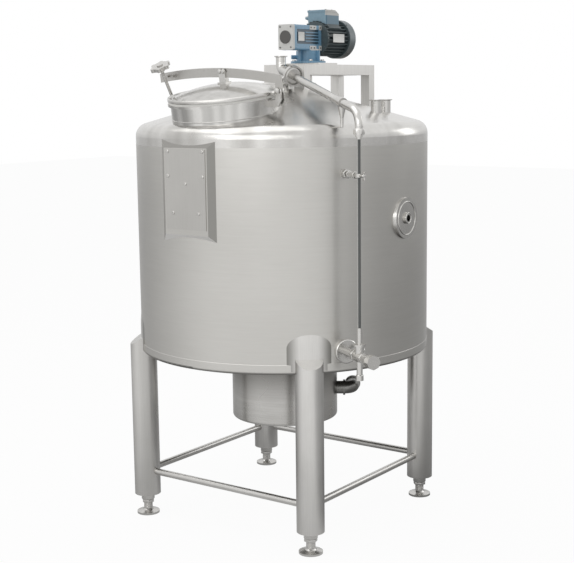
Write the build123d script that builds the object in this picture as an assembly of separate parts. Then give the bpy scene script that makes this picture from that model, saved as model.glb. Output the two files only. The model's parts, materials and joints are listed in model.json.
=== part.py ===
from build123d import *
import math
import os

# Ice cream aging tank, in mm, +Z up, floor at z = 0, control panel towards -Y.
# The pieces are drawn with the tank's axis on the origin and moved together when they are written.

# Tank body
body_radius = 560.0
wall_thickness = 55.0
body_bottom_z = 658.0
wall_height = 797.0
shoulder_height = 29.0
shoulder_radius = 50.0
roof_slope = 16.0
roof_thickness = 30.0
band_height = 37.0
band_proud = 1.0
bottom_edge_radius = 12.0
floor_slope = 9.5
floor_thickness = 36.0

# Sump drum under the floor
drum_radius = 208.0
drum_depth = 284.0
drum_wall = 4.0
drum_edge_radius = 10.0
outlet_angle = 33.0
outlet_radius = 25.5
outlet_bore = 22.5
outlet_reach = 62.0
outlet_turn_length = 75.0
outlet_bend = 32.0
outlet_rise = 106.0
outlet_collar_radius = 31.0
outlet_collar_gap = 24.0
outlet_collar_width = 8.0

# Legs, braces and feet
leg_inset = 5.0
leg_radius = 50.8
leg_wall = 3.0
leg_bottom_z = 81.0
leg_cap_height = 26.0
leg_cap_slope = 33.0
leg_angles = {"front_right": -45.0, "back_right": 45.0, "back_left": 135.0, "front_left": -135.0}
leg_pad_width = 160.0
leg_pad_height = 143.0
leg_pad_proud = 3.0
brace_radius = 12.7
brace_rise = 94.0
foot_radius = 44.0
foot_rim = 8.0
foot_dome = 5.0
foot_stem_radius = 16.5
foot_shoulder = 5.0
foot_sleeve_radius = 25.5
foot_sleeve_height = 25.0
foot_sleeve_edge = 1.5

# Control panel
panel_centre_x = -8.0
panel_width = 182.0
panel_height = 284.0
panel_thickness = 2.5
panel_drop = 289.0
pad_proud = 7.5
pad_side_margin = 7.0
pad_top_margin = 4.0
pad_bottom_margin = 19.0
pad_flare = 41.0
pad_depth = 34.0

# Probe pocket on the right side
pocket_y = -15.0
pocket_drop = 268.0
pocket_radius = 74.0
pocket_taper = 4.0
pocket_proud = 7.0
pocket_socket_radius = 20.0
pocket_socket_proud = 14.0
pocket_socket_depth = 36.0
pocket_socket_floor = 4.0
pocket_bore_radius = 12.0

# Manway on the roof, in a frame of its own: x along the tank's X, z along the neck
manway_inset = 218.0
manway_rise = 51.8
manway_tilt = 8.5
neck_radius = 203.0
neck_wall = 4.0
neck_depth = 175.0
rim_width = 9.0
rim_top = -10.0
rim_height = 8.0
gasket_height = 8.0
gasket_width = 14.0
gasket_inset = 2.0
lid_rim_height = 10.0
lid_rim_width = 20.0
lid_rim_edge = 3.0
lid_rise = 34.0
lid_sheet = 3.0

# Arched arm over the lid and its hinge
arm_height = 33.0
arm_thickness = 8.0
arm_overhang = 58.0
arm_left_h = 65.0
arm_mid_h = 80.0
arm_hinge_h = 51.0
hinge_offset = 40.0
hinge_h = 14.0
hinge_eye_radius = 13.0
hinge_lug_radius = 12.0
hinge_lug_root = 24.0
hinge_web_height = 8.0
hinge_pin_radius = 6.0
hinge_pin_end = 4.0
hinge_lug_thickness = 8.0
hinge_side_gap = 1.0
pin_clearance = 0.3
bracket_width = 38.0
bracket_plate = 6.0
bracket_foot_edge = 6.0
bracket_step = 5.0

# Swing bolt and star knob
bolt_offset = 39.0
bolt_y = -14.0
bolt_h = -10.0
bolt_radius = 6.0
bolt_length = 138.0
bolt_lean = 21.0
bolt_eye_radius = 10.0
bolt_eye_thickness = 14.0
bolt_pin_radius = 4.0
bolt_pin_end = 3.0
bolt_lug_thickness = 6.0
bolt_lug_root = 9.0
slot_clearance = 1.5
fork_prong_width = 11.5
fork_thickness = 8.0
fork_reach = 7.0
fork_rise = 4.0
knob_radius = 39.0
knob_lobes = 6
knob_lobe_radius = 9.0
knob_thickness = 13.0
knob_collar = 4.0
knob_base = 116.0
knob_hub_radius = 12.0
knob_hub_height = 28.0

# Drive bridge
bridge_tube = 40.0
bridge_half_spacing = 75.0
bridge_spacing = 19.0
bridge_inset = 36.0
bridge_rise = 65.75
plate_thickness = 6.0
plate_half_length = 65.0
plate_hole_gap = 10.0

# Gearmotor, output shaft down
drive_spacing = 183.0
drive_axis_rise = 98.0
gearbox_half_width = 32.0
gearbox_height = 96.0
gearbox_front_reach = 151.0
gearbox_back_reach = 46.0
gearbox_edge = 5.0
gearbox_recess = 5.0
recess_height = 56.0
recess_lift = 3.0
rib_count = 4
rib_thickness = 3.5
front_flange_thickness = 14.0
boss_radius = 10.0
boss_proud = 2.0
boss_length = 18.0
boss_inset = 9.5
output_neck_radius = 43.0
neck_rib_thickness = 6.0
neck_rib_reach = 12.0
neck_plug_radius = 8.0
neck_plug_length = 14.0
output_flange_radius = 69.0
output_flange_thickness = 8.0
end_cover_radius = 25.0
end_cover_proud = 3.0
adapter_radius = 65.0
adapter_width = 9.0
motor_length = 149.0
motor_core_radius = 58.0
fin_depth = 11.0
motor_fins = 28
motor_fin_width = 3.0
motor_pad_width = 30.0
motor_pad_length = 84.0
motor_pad_proud = 2.0
cowl_gap = 8.0
cowl_overlap = 6.0
cowl_length = 58.0
cowl_wall = 2.5
cowl_fit = 0.3
end_shield_width = 8.0
cowl_bevel = 18.0
box_width = 90.0
box_start = 16.0
box_length = 97.0
box_seat = 55.0
box_height = 56.0
box_lid = 8.0
box_lid_edge = 2.0
box_corner = 8.0
box_slope_length = 38.0
box_slope_drop = 17.0
gland_radius = 9.0
gland_length = 20.0

# Agitator
shaft_radius = 15.0
shaft_floor_gap = 87.0
shaft_engagement = 38.0
seal_radius = 32.0
seal_height = 48.0
seal_bore_clearance = 1.0
paddle_length = 250.0
paddle_height = 55.0
paddle_thickness = 6.0
paddle_pitch = 45.0
paddle_rises = (30.0, 330.0)

# Vent elbow, clamp and the pipe to the level gauge
gauge_angle = -31.2
vent_spacing = 342.0
line_slope = 13.0
ferrule_radius = 25.25
ferrule_thickness = 3.0
vent_radius = 19.0
tube_wall = 1.6
vent_rise = 97.75
vent_leg = 49.5
vent_bend = 32.0
stub_distance = 76.0
stub_radius = 22.0
clamp_distance = 119.0
clamp_radius = 38.5
clamp_band = 5.7
clamp_lip = 6.0
clamp_width = 17.0
pipe_radius = 14.0
pipe_bend = 60.0
gauge_standoff = 112.0
union_straight = 7.7
union_radius = 17.5
union_height = 22.0
union_socket = 8.0
collar_radius = 12.5
sleeve_radius = 8.75
sleeve_length = 14.0
fit_clearance = 0.15
collar_height = 14.0
glass_radius = 7.0
glass_rise = 88.0
clip_drop = 93.0
clip_thickness = 12.0
clip_width = 16.0
clip_eye_wall = 6.0
clip_foot_height = 28.0
clip_screw_radius = 6.0
clip_screw_length = 30.0
support_inset = 132.0
support_radius = 15.0
support_cone = 40.0
support_foot_radius = 6.0
support_collar_wall = 4.0
support_collar_width = 18.0
valve_rise = 77.0
valve_flange_radius = 43.0
valve_flange_width = 15.0
valve_flange_edge = 2.5
valve_neck_radius = 15.0
valve_body_radius = 19.0
valve_body_back = 22.0
valve_body_front = 18.0
valve_gland_radius = 16.0
valve_gland_height = 38.0
valve_gland_rim = 21.0
valve_gland_rim_height = 7.0
nipple_radius = 10.5
nipple_bore = 8.0
nipple_length = 83.0
nipple_end_radius = 13.5
nipple_end_height = 20.0
valve_knob_neck = 14.0
valve_knob_radius = 25.5
valve_knob_flare = 29.0
valve_knob_sides = 8
valve_knob_length = 80.0
valve_stem_radius = 8.0
valve_knob_gap = 28.0
valve_stem_length = 45.0

# Two plain roof nozzles
nozzle_inset = 155.0
nozzle_angles = (5.5, 22.0)
nozzle_rise = 45.9
nozzle_radius = 19.0

# Sizes that follow from the ones above
roof_seam_z = body_bottom_z + wall_height
shoulder_z = roof_seam_z + shoulder_height
inner_radius = body_radius - wall_thickness
slope_rise = math.tan(math.radians(roof_slope))
shoulder_end_r = body_radius - shoulder_radius * (1 - math.sin(math.radians(roof_slope)))
shoulder_end_z = shoulder_z + shoulder_radius * math.cos(math.radians(roof_slope))
roof_drop = roof_thickness / math.cos(math.radians(roof_slope))
apex_z = shoulder_end_z + shoulder_end_r * slope_rise
floor_rise = math.tan(math.radians(floor_slope))
floor_edge_z = body_bottom_z + floor_thickness
drum_bottom_z = body_bottom_z - drum_depth
outlet_z = drum_bottom_z + outlet_rise
leg_circle_radius = body_radius - leg_inset
leg_cap_outer_z = body_bottom_z + leg_cap_height
brace_z = leg_bottom_z + brace_rise
panel_bottom_z = roof_seam_z - panel_drop
pad_face_y = -body_radius - pad_proud
pocket_z = roof_seam_z - pocket_drop
manway_y = manway_inset - body_radius
manway_z = apex_z + manway_y * slope_rise + manway_rise
rim_radius = neck_radius + rim_width
# The vent, the bridge and the drive stand behind the manway, one after the other.
vent_y = manway_y + vent_spacing
bridge_front_y = vent_y + bridge_spacing
drive_y = vent_y + drive_spacing
hinge_x = neck_radius + hinge_offset
bolt_x = -neck_radius - bolt_offset
arm_left_x = bolt_x - arm_overhang
bridge_back_y = body_radius - bridge_inset
bridge_top_z = apex_z + bridge_rise
drive_axis_z = bridge_top_z + plate_thickness + drive_axis_rise
gearbox_front_y = drive_y - gearbox_front_reach
gearbox_back_y = drive_y + gearbox_back_reach
motor_back_y = gearbox_back_y + motor_length
motor_fin_radius = motor_core_radius + fin_depth
cowl_radius = motor_fin_radius + cowl_gap
cowl_front_y = motor_back_y - cowl_overlap
cowl_back_y = cowl_front_y + cowl_length
box_front_y = gearbox_back_y + box_start
box_back_y = box_front_y + box_length
box_bottom_z = drive_axis_z + box_seat
box_top_z = box_bottom_z + box_height
shaft_bottom_z = body_bottom_z + shaft_floor_gap
vent_top_z = apex_z + vent_rise
vent_corner_z = vent_top_z - vent_leg
gauge_radius_out = body_radius + gauge_standoff
gauge_x = gauge_radius_out * math.cos(math.radians(gauge_angle))
gauge_y = gauge_radius_out * math.sin(math.radians(gauge_angle))
line_run = math.hypot(gauge_x, gauge_y - vent_y)
line_angle = math.degrees(math.atan2(gauge_y - vent_y, gauge_x))
gauge_corner_z = vent_corner_z - line_run * math.tan(math.radians(line_slope))
# The bend into the union takes a straight length that grows with its radius.
union_top_z = gauge_corner_z - pipe_bend * math.tan(math.radians((90 - line_slope) / 2)) - union_straight
clip_z = roof_seam_z - clip_drop
support_distance = line_run - support_inset
valve_z = body_bottom_z + valve_rise
glass_bottom_z = valve_z + glass_rise
nozzle_circle = body_radius - nozzle_inset
nozzle_top_z = apex_z - nozzle_circle * slope_rise + nozzle_rise
valve_knob_start = gauge_radius_out + valve_knob_gap
valve_knob_end = valve_knob_start + valve_knob_length
# The valve knob reaches past the body, so the origin is moved to the middle of the whole width.
centre_shift = (valve_knob_end * math.cos(math.radians(gauge_angle)) - body_radius) / 2


def roof_z(radius):
    """Height of the roof's outer cone at a distance from the tank axis."""
    return apex_z - radius * slope_rise


def polar(radius, angle, z=0.0):
    a = math.radians(angle)
    return Vector(radius * math.cos(a), radius * math.sin(a), z)


def turned(profile):
    """A solid of revolution about Z from a closed outline drawn in XZ, with its seam towards -X."""
    return Rot(0, 0, 180) * revolve(make_face(Plane.XZ * profile), Axis.Z, 360)


def rod(start, end, radius):
    """A solid bar between two points."""
    line = Vector(*end) - Vector(*start)
    plane = Plane(origin=start, z_dir=line)
    return plane * Cylinder(radius, line.length, align=(Align.CENTER, Align.CENTER, Align.MIN))


def swept(points, bend, radius):
    """A round bar along a path whose corners are rounded."""
    path = FilletPolyline(*points, radius=bend)
    start = Plane(origin=path @ 0, z_dir=path % 0)
    return sweep(start * Circle(radius), path=path)


def outer_profile():
    """Half outline of the closed body, from the apex down to the floor's centre."""
    middle = math.radians((90 + roof_slope) / 2)
    centre_r = body_radius - shoulder_radius
    bend = ThreePointArc(
        (shoulder_end_r, shoulder_end_z),
        (centre_r + shoulder_radius * math.cos(math.radians(90) - middle),
         shoulder_z + shoulder_radius * math.sin(math.radians(90) - middle)),
        (body_radius, shoulder_z),
    )
    band_r = body_radius + band_proud
    band_z = body_bottom_z + band_height
    edge = bottom_edge_radius
    s = math.sqrt(0.5)
    corner = ThreePointArc(
        (band_r, body_bottom_z + edge),
        (band_r - edge + edge * s, body_bottom_z + edge - edge * s),
        (band_r - edge, body_bottom_z),
    )
    floor_centre_z = body_bottom_z - (band_r - edge) * floor_rise
    return Curve() + [
        Line((0, apex_z), (shoulder_end_r, shoulder_end_z)),
        bend,
        Polyline((body_radius, shoulder_z), (body_radius, band_z), (band_r, band_z - band_proud),
                 (band_r, body_bottom_z + edge)),
        corner,
        Line((band_r - edge, body_bottom_z), (0, floor_centre_z)),
        Line((0, floor_centre_z), (0, apex_z)),
    ]


def body_envelope():
    return turned(outer_profile())


def cavity():
    """The space inside the vessel."""
    top = apex_z - roof_drop
    return turned(Polyline(
        (0, top), (inner_radius, top - inner_radius * slope_rise), (inner_radius, floor_edge_z),
        (0, floor_edge_z - inner_radius * floor_rise), (0, top)))


def manway_plane():
    tilt = math.radians(manway_tilt)
    return Plane(origin=(0, manway_y, manway_z), x_dir=(1, 0, 0), z_dir=(0, -math.sin(tilt), math.cos(tilt)))


def disc(radius, low, high):
    """A cylinder about the local z axis between two heights, with its seam towards -X."""
    bottom = Align.CENTER, Align.CENTER, Align.MIN
    return Pos(0, 0, low) * Rot(0, 0, 180) * Cylinder(radius, high - low, align=bottom)


def ring(outer, inner, low, high):
    return disc(outer, low, high) - disc(inner, low, high)


def block(x0, x1, y0, y1, z0, z1):
    return Pos((x0 + x1) / 2, (y0 + y1) / 2, (z0 + z1) / 2) * Box(x1 - x0, y1 - y0, z1 - z0)


def pocket_plane():
    return Plane(origin=(body_radius, pocket_y, pocket_z), z_dir=(1, 0, 0))


def line_point(distance):
    """A point on the sloping pipe, at a level distance from the vent's upright."""
    z = vent_corner_z - distance * math.tan(math.radians(line_slope))
    return Vector(0, vent_y, 0) + polar(distance, line_angle, z)


def line_direction():
    return (line_point(1.0) - line_point(0.0)).normalized()


def gauge_point(z):
    return polar(gauge_radius_out, gauge_angle, z)


# Body

def make_roof(shell):
    roof = shell & disc(body_radius + 50, roof_seam_z, apex_z + 50)
    roof -= manway_plane() * disc(neck_radius, -2 * neck_depth, 100)
    roof -= Pos(0, drive_y, 0) * disc(shaft_radius + seal_bore_clearance, shoulder_z, apex_z)
    foot = line_point(stub_distance)
    roof -= rod((foot.X, foot.Y, shoulder_z), (foot.X, foot.Y, apex_z), stub_radius)
    for angle in nozzle_angles:
        at = polar(nozzle_circle, angle)
        roof -= rod((at.X, at.Y, shoulder_z), (at.X, at.Y, apex_z), nozzle_radius)
    return roof


def make_wall(shell):
    wall = shell & ring(body_radius + 50, inner_radius, body_bottom_z - 50, roof_seam_z)
    wall -= pocket_plane() * disc(pocket_socket_radius, -wall_thickness, 50)
    return wall


def make_floor(shell):
    return shell & disc(inner_radius, drum_bottom_z, floor_edge_z)


def make_drum(envelope):
    outside = disc(drum_radius, drum_bottom_z, body_bottom_z)
    outside = fillet(outside.edges().group_by(Axis.Z)[0], drum_edge_radius)
    inside = disc(drum_radius - drum_wall, drum_bottom_z + drum_wall, body_bottom_z)
    drum = outside - inside - envelope
    start = polar(drum_radius - 30, outlet_angle, outlet_z)
    end = polar(drum_radius + 30, outlet_angle, outlet_z)
    return drum - rod(start, end, outlet_radius)


def make_outlet():
    """A short elbow that leaves the drum and turns towards the back."""
    start = polar(drum_radius - 2 * drum_wall, outlet_angle, outlet_z)
    corner = polar(drum_radius + outlet_reach, outlet_angle, outlet_z)
    away = polar(1, outlet_angle + 90)
    end = corner + away * outlet_turn_length
    pipe = swept([start, corner, end], outlet_bend, outlet_radius)
    collar_start = polar(drum_radius + outlet_collar_gap, outlet_angle, outlet_z)
    collar_end = polar(drum_radius + outlet_collar_gap + outlet_collar_width, outlet_angle, outlet_z)
    pipe += rod(collar_start, collar_end, outlet_collar_radius)
    pipe += rod(end - away * outlet_collar_width, end, outlet_collar_radius)
    past = [start - polar(drum_wall, outlet_angle), corner, end + away * drum_wall]
    return pipe - swept(past, outlet_bend, outlet_bore)


# Legs

def make_leg(angle, envelope):
    high = body_bottom_z + leg_pad_height
    outer = disc(leg_radius, leg_bottom_z, high)
    inner = disc(leg_radius - leg_wall, leg_bottom_z + 2 * leg_wall, high)
    # The cap falls outwards, so the cutting plane's normal leans outwards from the tank.
    slope = math.radians(leg_cap_slope)
    normal = (math.sin(slope), 0, math.cos(slope))
    cap = Plane(origin=(leg_radius, 0, leg_cap_outer_z), x_dir=(0, 1, 0), z_dir=normal)
    reach = 4 * leg_radius
    above = cap * block(-reach, reach, -reach, reach, 0, reach)
    under = cap * block(-reach, reach, -reach, reach, -leg_wall, reach)
    leg = (outer - above) - (inner - under)
    place = Rot(0, 0, angle) * Pos(leg_circle_radius, 0, 0)
    return (place * leg) - envelope + make_leg_pad(angle, envelope)


def make_leg_pad(angle, envelope):
    """The swelling of the shell behind a leg: part of an upright cylinder with a round top."""
    half = leg_pad_width / 2
    crest = body_radius + leg_pad_proud
    sagitta = crest - math.sqrt(body_radius ** 2 - half ** 2)
    curve = (sagitta ** 2 + half ** 2) / (2 * sagitta)
    low = body_bottom_z + bottom_edge_radius
    spring = body_bottom_z + leg_pad_height - math.sqrt(2 * curve * leg_pad_proud - leg_pad_proud ** 2)
    swelling = disc(curve, low, spring) + Pos(0, 0, spring) * Rot(0, 0, 180) * Sphere(curve)
    swelling = Pos(crest - curve, 0, 0) * swelling
    swelling &= block(body_radius - wall_thickness, crest, -half - 1, half + 1, low, shoulder_z)
    pad = (Rot(0, 0, angle) * swelling) - envelope
    core = Rot(0, 0, angle) * Pos(leg_circle_radius, 0, 0)
    return pad - core * disc(leg_radius - leg_wall, leg_bottom_z, leg_cap_outer_z)


def make_foot():
    dome_z = foot_rim + foot_dome
    sleeve_z = leg_bottom_z - foot_sleeve_height
    edge = foot_sleeve_edge
    return turned(Polyline(
        (0, 0), (foot_radius, 0), (foot_radius, foot_rim), (foot_stem_radius + foot_shoulder, dome_z),
        (foot_stem_radius, dome_z + foot_shoulder), (foot_stem_radius, sleeve_z),
        (foot_sleeve_radius - edge, sleeve_z), (foot_sleeve_radius, sleeve_z + edge),
        (foot_sleeve_radius, leg_bottom_z), (0, leg_bottom_z), (0, 0)))


def make_feet():
    feet = None
    for angle in leg_angles.values():
        foot = Rot(0, 0, angle) * Pos(leg_circle_radius, 0, 0) * make_foot()
        feet = foot if feet is None else feet + foot
    return feet


def make_brace(first, second):
    a = polar(leg_circle_radius, first, brace_z)
    b = polar(leg_circle_radius, second, brace_z)
    bar = rod(a, b, brace_radius)
    for end in (a, b):
        bar -= Pos(end.X, end.Y, 0) * disc(leg_radius, brace_z - 60, brace_z + 60)
    return bar


# Panel and pocket

def make_panel_pad(envelope):
    half = panel_width / 2 + pad_side_margin
    low = panel_bottom_z - pad_bottom_margin
    high = panel_bottom_z + panel_height + pad_top_margin
    middle = (low + high) / 2
    face = Plane(origin=(panel_centre_x, pad_face_y, middle), x_dir=(1, 0, 0), z_dir=(0, -1, 0))
    root = Plane(origin=(panel_centre_x, pad_face_y + pad_depth, middle), x_dir=(1, 0, 0), z_dir=(0, -1, 0))
    front = face * Rectangle(2 * half, high - low)
    back = root * Rectangle(2 * half + 2 * pad_flare, high - low + 2 * pad_flare)
    return loft([back.faces()[0], front.faces()[0]]) - envelope


def make_panel_plate():
    left = panel_centre_x - panel_width / 2
    return block(left, left + panel_width, pad_face_y - panel_thickness, pad_face_y,
                 panel_bottom_z, panel_bottom_z + panel_height)


def make_pocket(envelope):
    depth = pocket_proud + pocket_socket_radius
    flange = Cone(pocket_radius + pocket_taper, pocket_radius, depth,
                  align=(Align.CENTER, Align.CENTER, Align.MIN))
    flange = (pocket_plane() * Pos(0, 0, pocket_proud - depth) * flange) - envelope
    socket = pocket_plane() * disc(pocket_socket_radius, -pocket_socket_depth, pocket_socket_proud)
    hole = pocket_plane() * disc(pocket_bore_radius, pocket_socket_floor - pocket_socket_depth, pocket_socket_proud)
    return flange + socket - hole


# Manway

def make_neck(hollow):
    neck = ring(neck_radius, neck_radius - neck_wall, -neck_depth, rim_top)
    neck += ring(rim_radius, neck_radius - neck_wall, rim_top - rim_height, rim_top)
    neck = manway_plane() * neck
    neck -= hollow
    return neck - disc(body_radius, body_bottom_z, roof_seam_z)


def make_gasket():
    outer = rim_radius - gasket_inset
    return manway_plane() * ring(outer, outer - gasket_width, rim_top, rim_top + gasket_height)


def lid_low():
    return rim_top + gasket_height


def dome(base_radius, base, rise, floor):
    """A round cap with a spherical top, down to a flat floor."""
    ball = (base_radius ** 2 + rise ** 2) / (2 * rise)
    half_turn = math.asin(base_radius / ball) / 2
    middle = (ball * math.sin(half_turn), base + rise - ball * (1 - math.cos(half_turn)))
    return turned(Curve() + [
        ThreePointArc((0, base + rise), middle, (base_radius, base)),
        Polyline((base_radius, base), (base_radius, floor), (0, floor), (0, base + rise)),
    ])


def lid_dome():
    return dome(rim_radius - lid_rim_width, lid_low() + lid_rim_height, lid_rise, lid_low())


def make_lid():
    low = lid_low()
    edge = rim_radius - lid_rim_width
    under = dome(edge - lid_sheet, low + lid_rim_height - lid_sheet, lid_rise, low - 1)
    rim = ring(rim_radius, edge - lid_sheet, low, low + lid_rim_height)
    rim = fillet(rim.edges().filter_by(GeomType.CIRCLE).group_by(SortBy.RADIUS)[-1], lid_rim_edge)
    return manway_plane() * (rim + lid_dome() - under)


def lid_crown():
    return lid_low() + lid_rim_height + lid_rise


def make_arm():
    half = arm_height / 2
    end_x = hinge_x + hinge_eye_radius
    top = ThreePointArc((arm_left_x, arm_left_h + half), (0, arm_mid_h + half), (end_x, arm_hinge_h + half))
    bottom = ThreePointArc((end_x, arm_hinge_h - half), (0, arm_mid_h - half), (arm_left_x, arm_left_h - half))
    bar = make_face(Curve() + [
        top,
        Line((end_x, arm_hinge_h + half), (end_x, arm_hinge_h - half)),
        bottom,
        Line((arm_left_x, arm_left_h - half), (arm_left_x, arm_left_h + half)),
    ])
    drop = Pos(hinge_x, (hinge_h + arm_hinge_h) / 2) * Rectangle(2 * hinge_eye_radius, arm_hinge_h - hinge_h)
    eye = Pos(hinge_x, hinge_h) * Circle(hinge_eye_radius)
    hole = Pos(hinge_x, hinge_h) * Circle(hinge_pin_radius + pin_clearance)
    side = Plane(origin=(0, arm_thickness / 2, 0), x_dir=(1, 0, 0), z_dir=(0, -1, 0))
    arm = extrude(side * (bar + drop + eye - hole), arm_thickness)
    # Two prongs on the arm's side face take the bolt between them.
    slot_half = bolt_radius + slot_clearance
    fork_low = arm_left_h + fork_rise
    for side_sign in (-1, 1):
        inner = bolt_x + side_sign * slot_half
        outer = inner + side_sign * fork_prong_width
        arm += block(min(inner, outer), max(inner, outer), bolt_y - fork_reach, 0,
                     fork_low, fork_low + fork_thickness)
    return manway_plane() * arm


def make_lid_bracket():
    inner = arm_thickness / 2
    outer = inner + bracket_plate
    half = bracket_width / 2
    narrow = half - bracket_step
    low = lid_crown() - bracket_foot_edge
    high = arm_mid_h + arm_height / 4
    seat = arm_mid_h - arm_height / 2
    foot = block(-half, half, -outer - bracket_foot_edge, outer + bracket_foot_edge, low, lid_crown() + bracket_step)
    stem = block(-narrow, narrow, -outer, outer, low, seat)
    ears = block(-narrow, narrow, inner, outer, low, high) + block(-narrow, narrow, -outer, -inner, low, high)
    bracket = foot + stem + ears - lid_dome()
    return manway_plane() * bracket - make_arm()


def make_hinge_lugs():
    inner = arm_thickness / 2 + hinge_side_gap
    outer = inner + hinge_lug_thickness
    radius = hinge_lug_radius
    root_top = rim_top - rim_height - 1
    root_low = root_top - hinge_lug_root
    root_x = neck_radius - 2 * neck_wall
    side = Plane(origin=(0, 0, 0), x_dir=(1, 0, 0), z_dir=(0, -1, 0))
    outline = make_face(Polyline(
        (root_x, root_low), (hinge_x - radius / 3, root_low), (hinge_x + radius, root_top),
        (hinge_x + radius, hinge_h), (hinge_x - radius, hinge_h), (hinge_x - radius, root_top),
        (root_x, root_top), close=True))
    outline += Pos(hinge_x, hinge_h) * Circle(radius)
    lugs = None
    for near in (inner, -outer):
        ear = extrude(side * outline, hinge_lug_thickness)
        ear = Pos(0, near + hinge_lug_thickness, 0) * ear
        lugs = ear if lugs is None else lugs + ear
    web = block(root_x, hinge_x - radius / 3, -inner, inner, root_low, root_low + hinge_web_height)
    pin = Plane(origin=(hinge_x, outer + hinge_pin_end, hinge_h), z_dir=(0, -1, 0))
    pin *= disc(hinge_pin_radius, 0, 2 * (outer + hinge_pin_end))
    lugs = lugs + web + pin - disc(neck_radius, -neck_depth, 0)
    return manway_plane() * lugs


def make_bolt_lugs():
    inner = bolt_eye_thickness / 2 + hinge_side_gap
    outer = inner + bolt_lug_thickness
    radius = bolt_eye_radius
    root_top = rim_top - rim_height - 1
    root_low = root_top - bolt_lug_root
    front = bolt_y - radius
    back = bolt_y + radius
    lugs = block(bolt_x - outer, 2 * neck_wall - neck_radius, front, back, root_low, root_top - 2)
    for near in (inner, -outer):
        ear = block(bolt_x + near, bolt_x + near + bolt_lug_thickness, front, back, root_low, bolt_h)
        ear += Plane(origin=(bolt_x + near, bolt_y, bolt_h), z_dir=(1, 0, 0)) * disc(radius, 0, bolt_lug_thickness)
        lugs += ear
    pin = Plane(origin=(bolt_x - outer - bolt_pin_end, bolt_y, bolt_h), z_dir=(1, 0, 0))
    pin *= disc(bolt_pin_radius, 0, 2 * (outer + bolt_pin_end))
    lugs = lugs + pin - disc(neck_radius, -neck_depth, 0)
    return manway_plane() * lugs


def bolt_plane():
    """Frame of the swing bolt at rest: origin on its pivot, z along the rod."""
    base = manway_plane()
    lean = math.radians(bolt_lean)
    origin = base.from_local_coords(Vector(bolt_x, bolt_y, bolt_h))
    along = base.from_local_coords(Vector(bolt_x, bolt_y - math.sin(lean), bolt_h + math.cos(lean))) - origin
    return Plane(origin=origin, x_dir=(1, 0, 0), z_dir=along)


def make_swing_bolt():
    stem = disc(bolt_radius, 0, bolt_length)
    half = bolt_eye_thickness / 2
    across = Plane(origin=(-half, 0, 0), z_dir=(1, 0, 0))
    eye = across * disc(bolt_eye_radius, 0, bolt_eye_thickness)
    hole = across * disc(bolt_pin_radius + pin_clearance, 0, bolt_eye_thickness)
    return bolt_plane() * (stem + eye - hole)


def make_hand_knob():
    low = knob_base + knob_hub_height - knob_thickness - knob_collar
    high = low + knob_thickness
    star = disc(knob_radius - 0.8 * knob_lobe_radius, low, high)
    for i in range(knob_lobes):
        turn = Rot(0, 0, i * 360 / knob_lobes)
        star += turn * Pos(knob_radius - knob_lobe_radius, 0, 0) * disc(knob_lobe_radius, low, high)
    star += disc(knob_hub_radius, knob_base, knob_base + knob_hub_height)
    star -= disc(bolt_radius + pin_clearance, knob_base, bolt_length + 1)
    return bolt_plane() * star


# Drive

def bridge_ends():
    """Y of the centres of the two rows of posts."""
    return (bridge_front_y + bridge_tube / 2, bridge_back_y - bridge_tube / 2)


def make_bridge_rails():
    half = bridge_tube / 2
    rails = None
    for x in (-bridge_half_spacing, bridge_half_spacing):
        rail = block(x - half, x + half, bridge_front_y, bridge_back_y, bridge_top_z - bridge_tube, bridge_top_z)
        rails = rail if rails is None else rails + rail
    return rails


def make_bridge_crossbars():
    half = bridge_tube / 2
    reach = bridge_half_spacing - half
    bars = None
    for y in bridge_ends():
        bar = block(-reach, reach, y - half, y + half, bridge_top_z - bridge_tube, bridge_top_z)
        bars = bar if bars is None else bars + bar
    return bars


def make_bridge_posts(envelope):
    half = bridge_tube / 2
    posts = None
    for x in (-bridge_half_spacing, bridge_half_spacing):
        for y in bridge_ends():
            post = block(x - half, x + half, y - half, y + half, shoulder_z, bridge_top_z - bridge_tube)
            post -= envelope
            posts = post if posts is None else posts + post
    return posts


def make_bridge_plate():
    half = bridge_half_spacing + bridge_tube / 2
    plate = block(-half, half, drive_y - plate_half_length, drive_y + plate_half_length, bridge_top_z, flange_base())
    return plate - Pos(0, drive_y, 0) * disc(shaft_radius + plate_hole_gap, bridge_top_z, flange_base())


def flange_base():
    return bridge_top_z + plate_thickness


def gearbox_pad(y0, y1, z0, z1):
    """A machined pad across the housing, a little proud of both its sides."""
    half = gearbox_half_width + boss_proud
    return block(-half, half, y0, y1, z0, z1)


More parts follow.
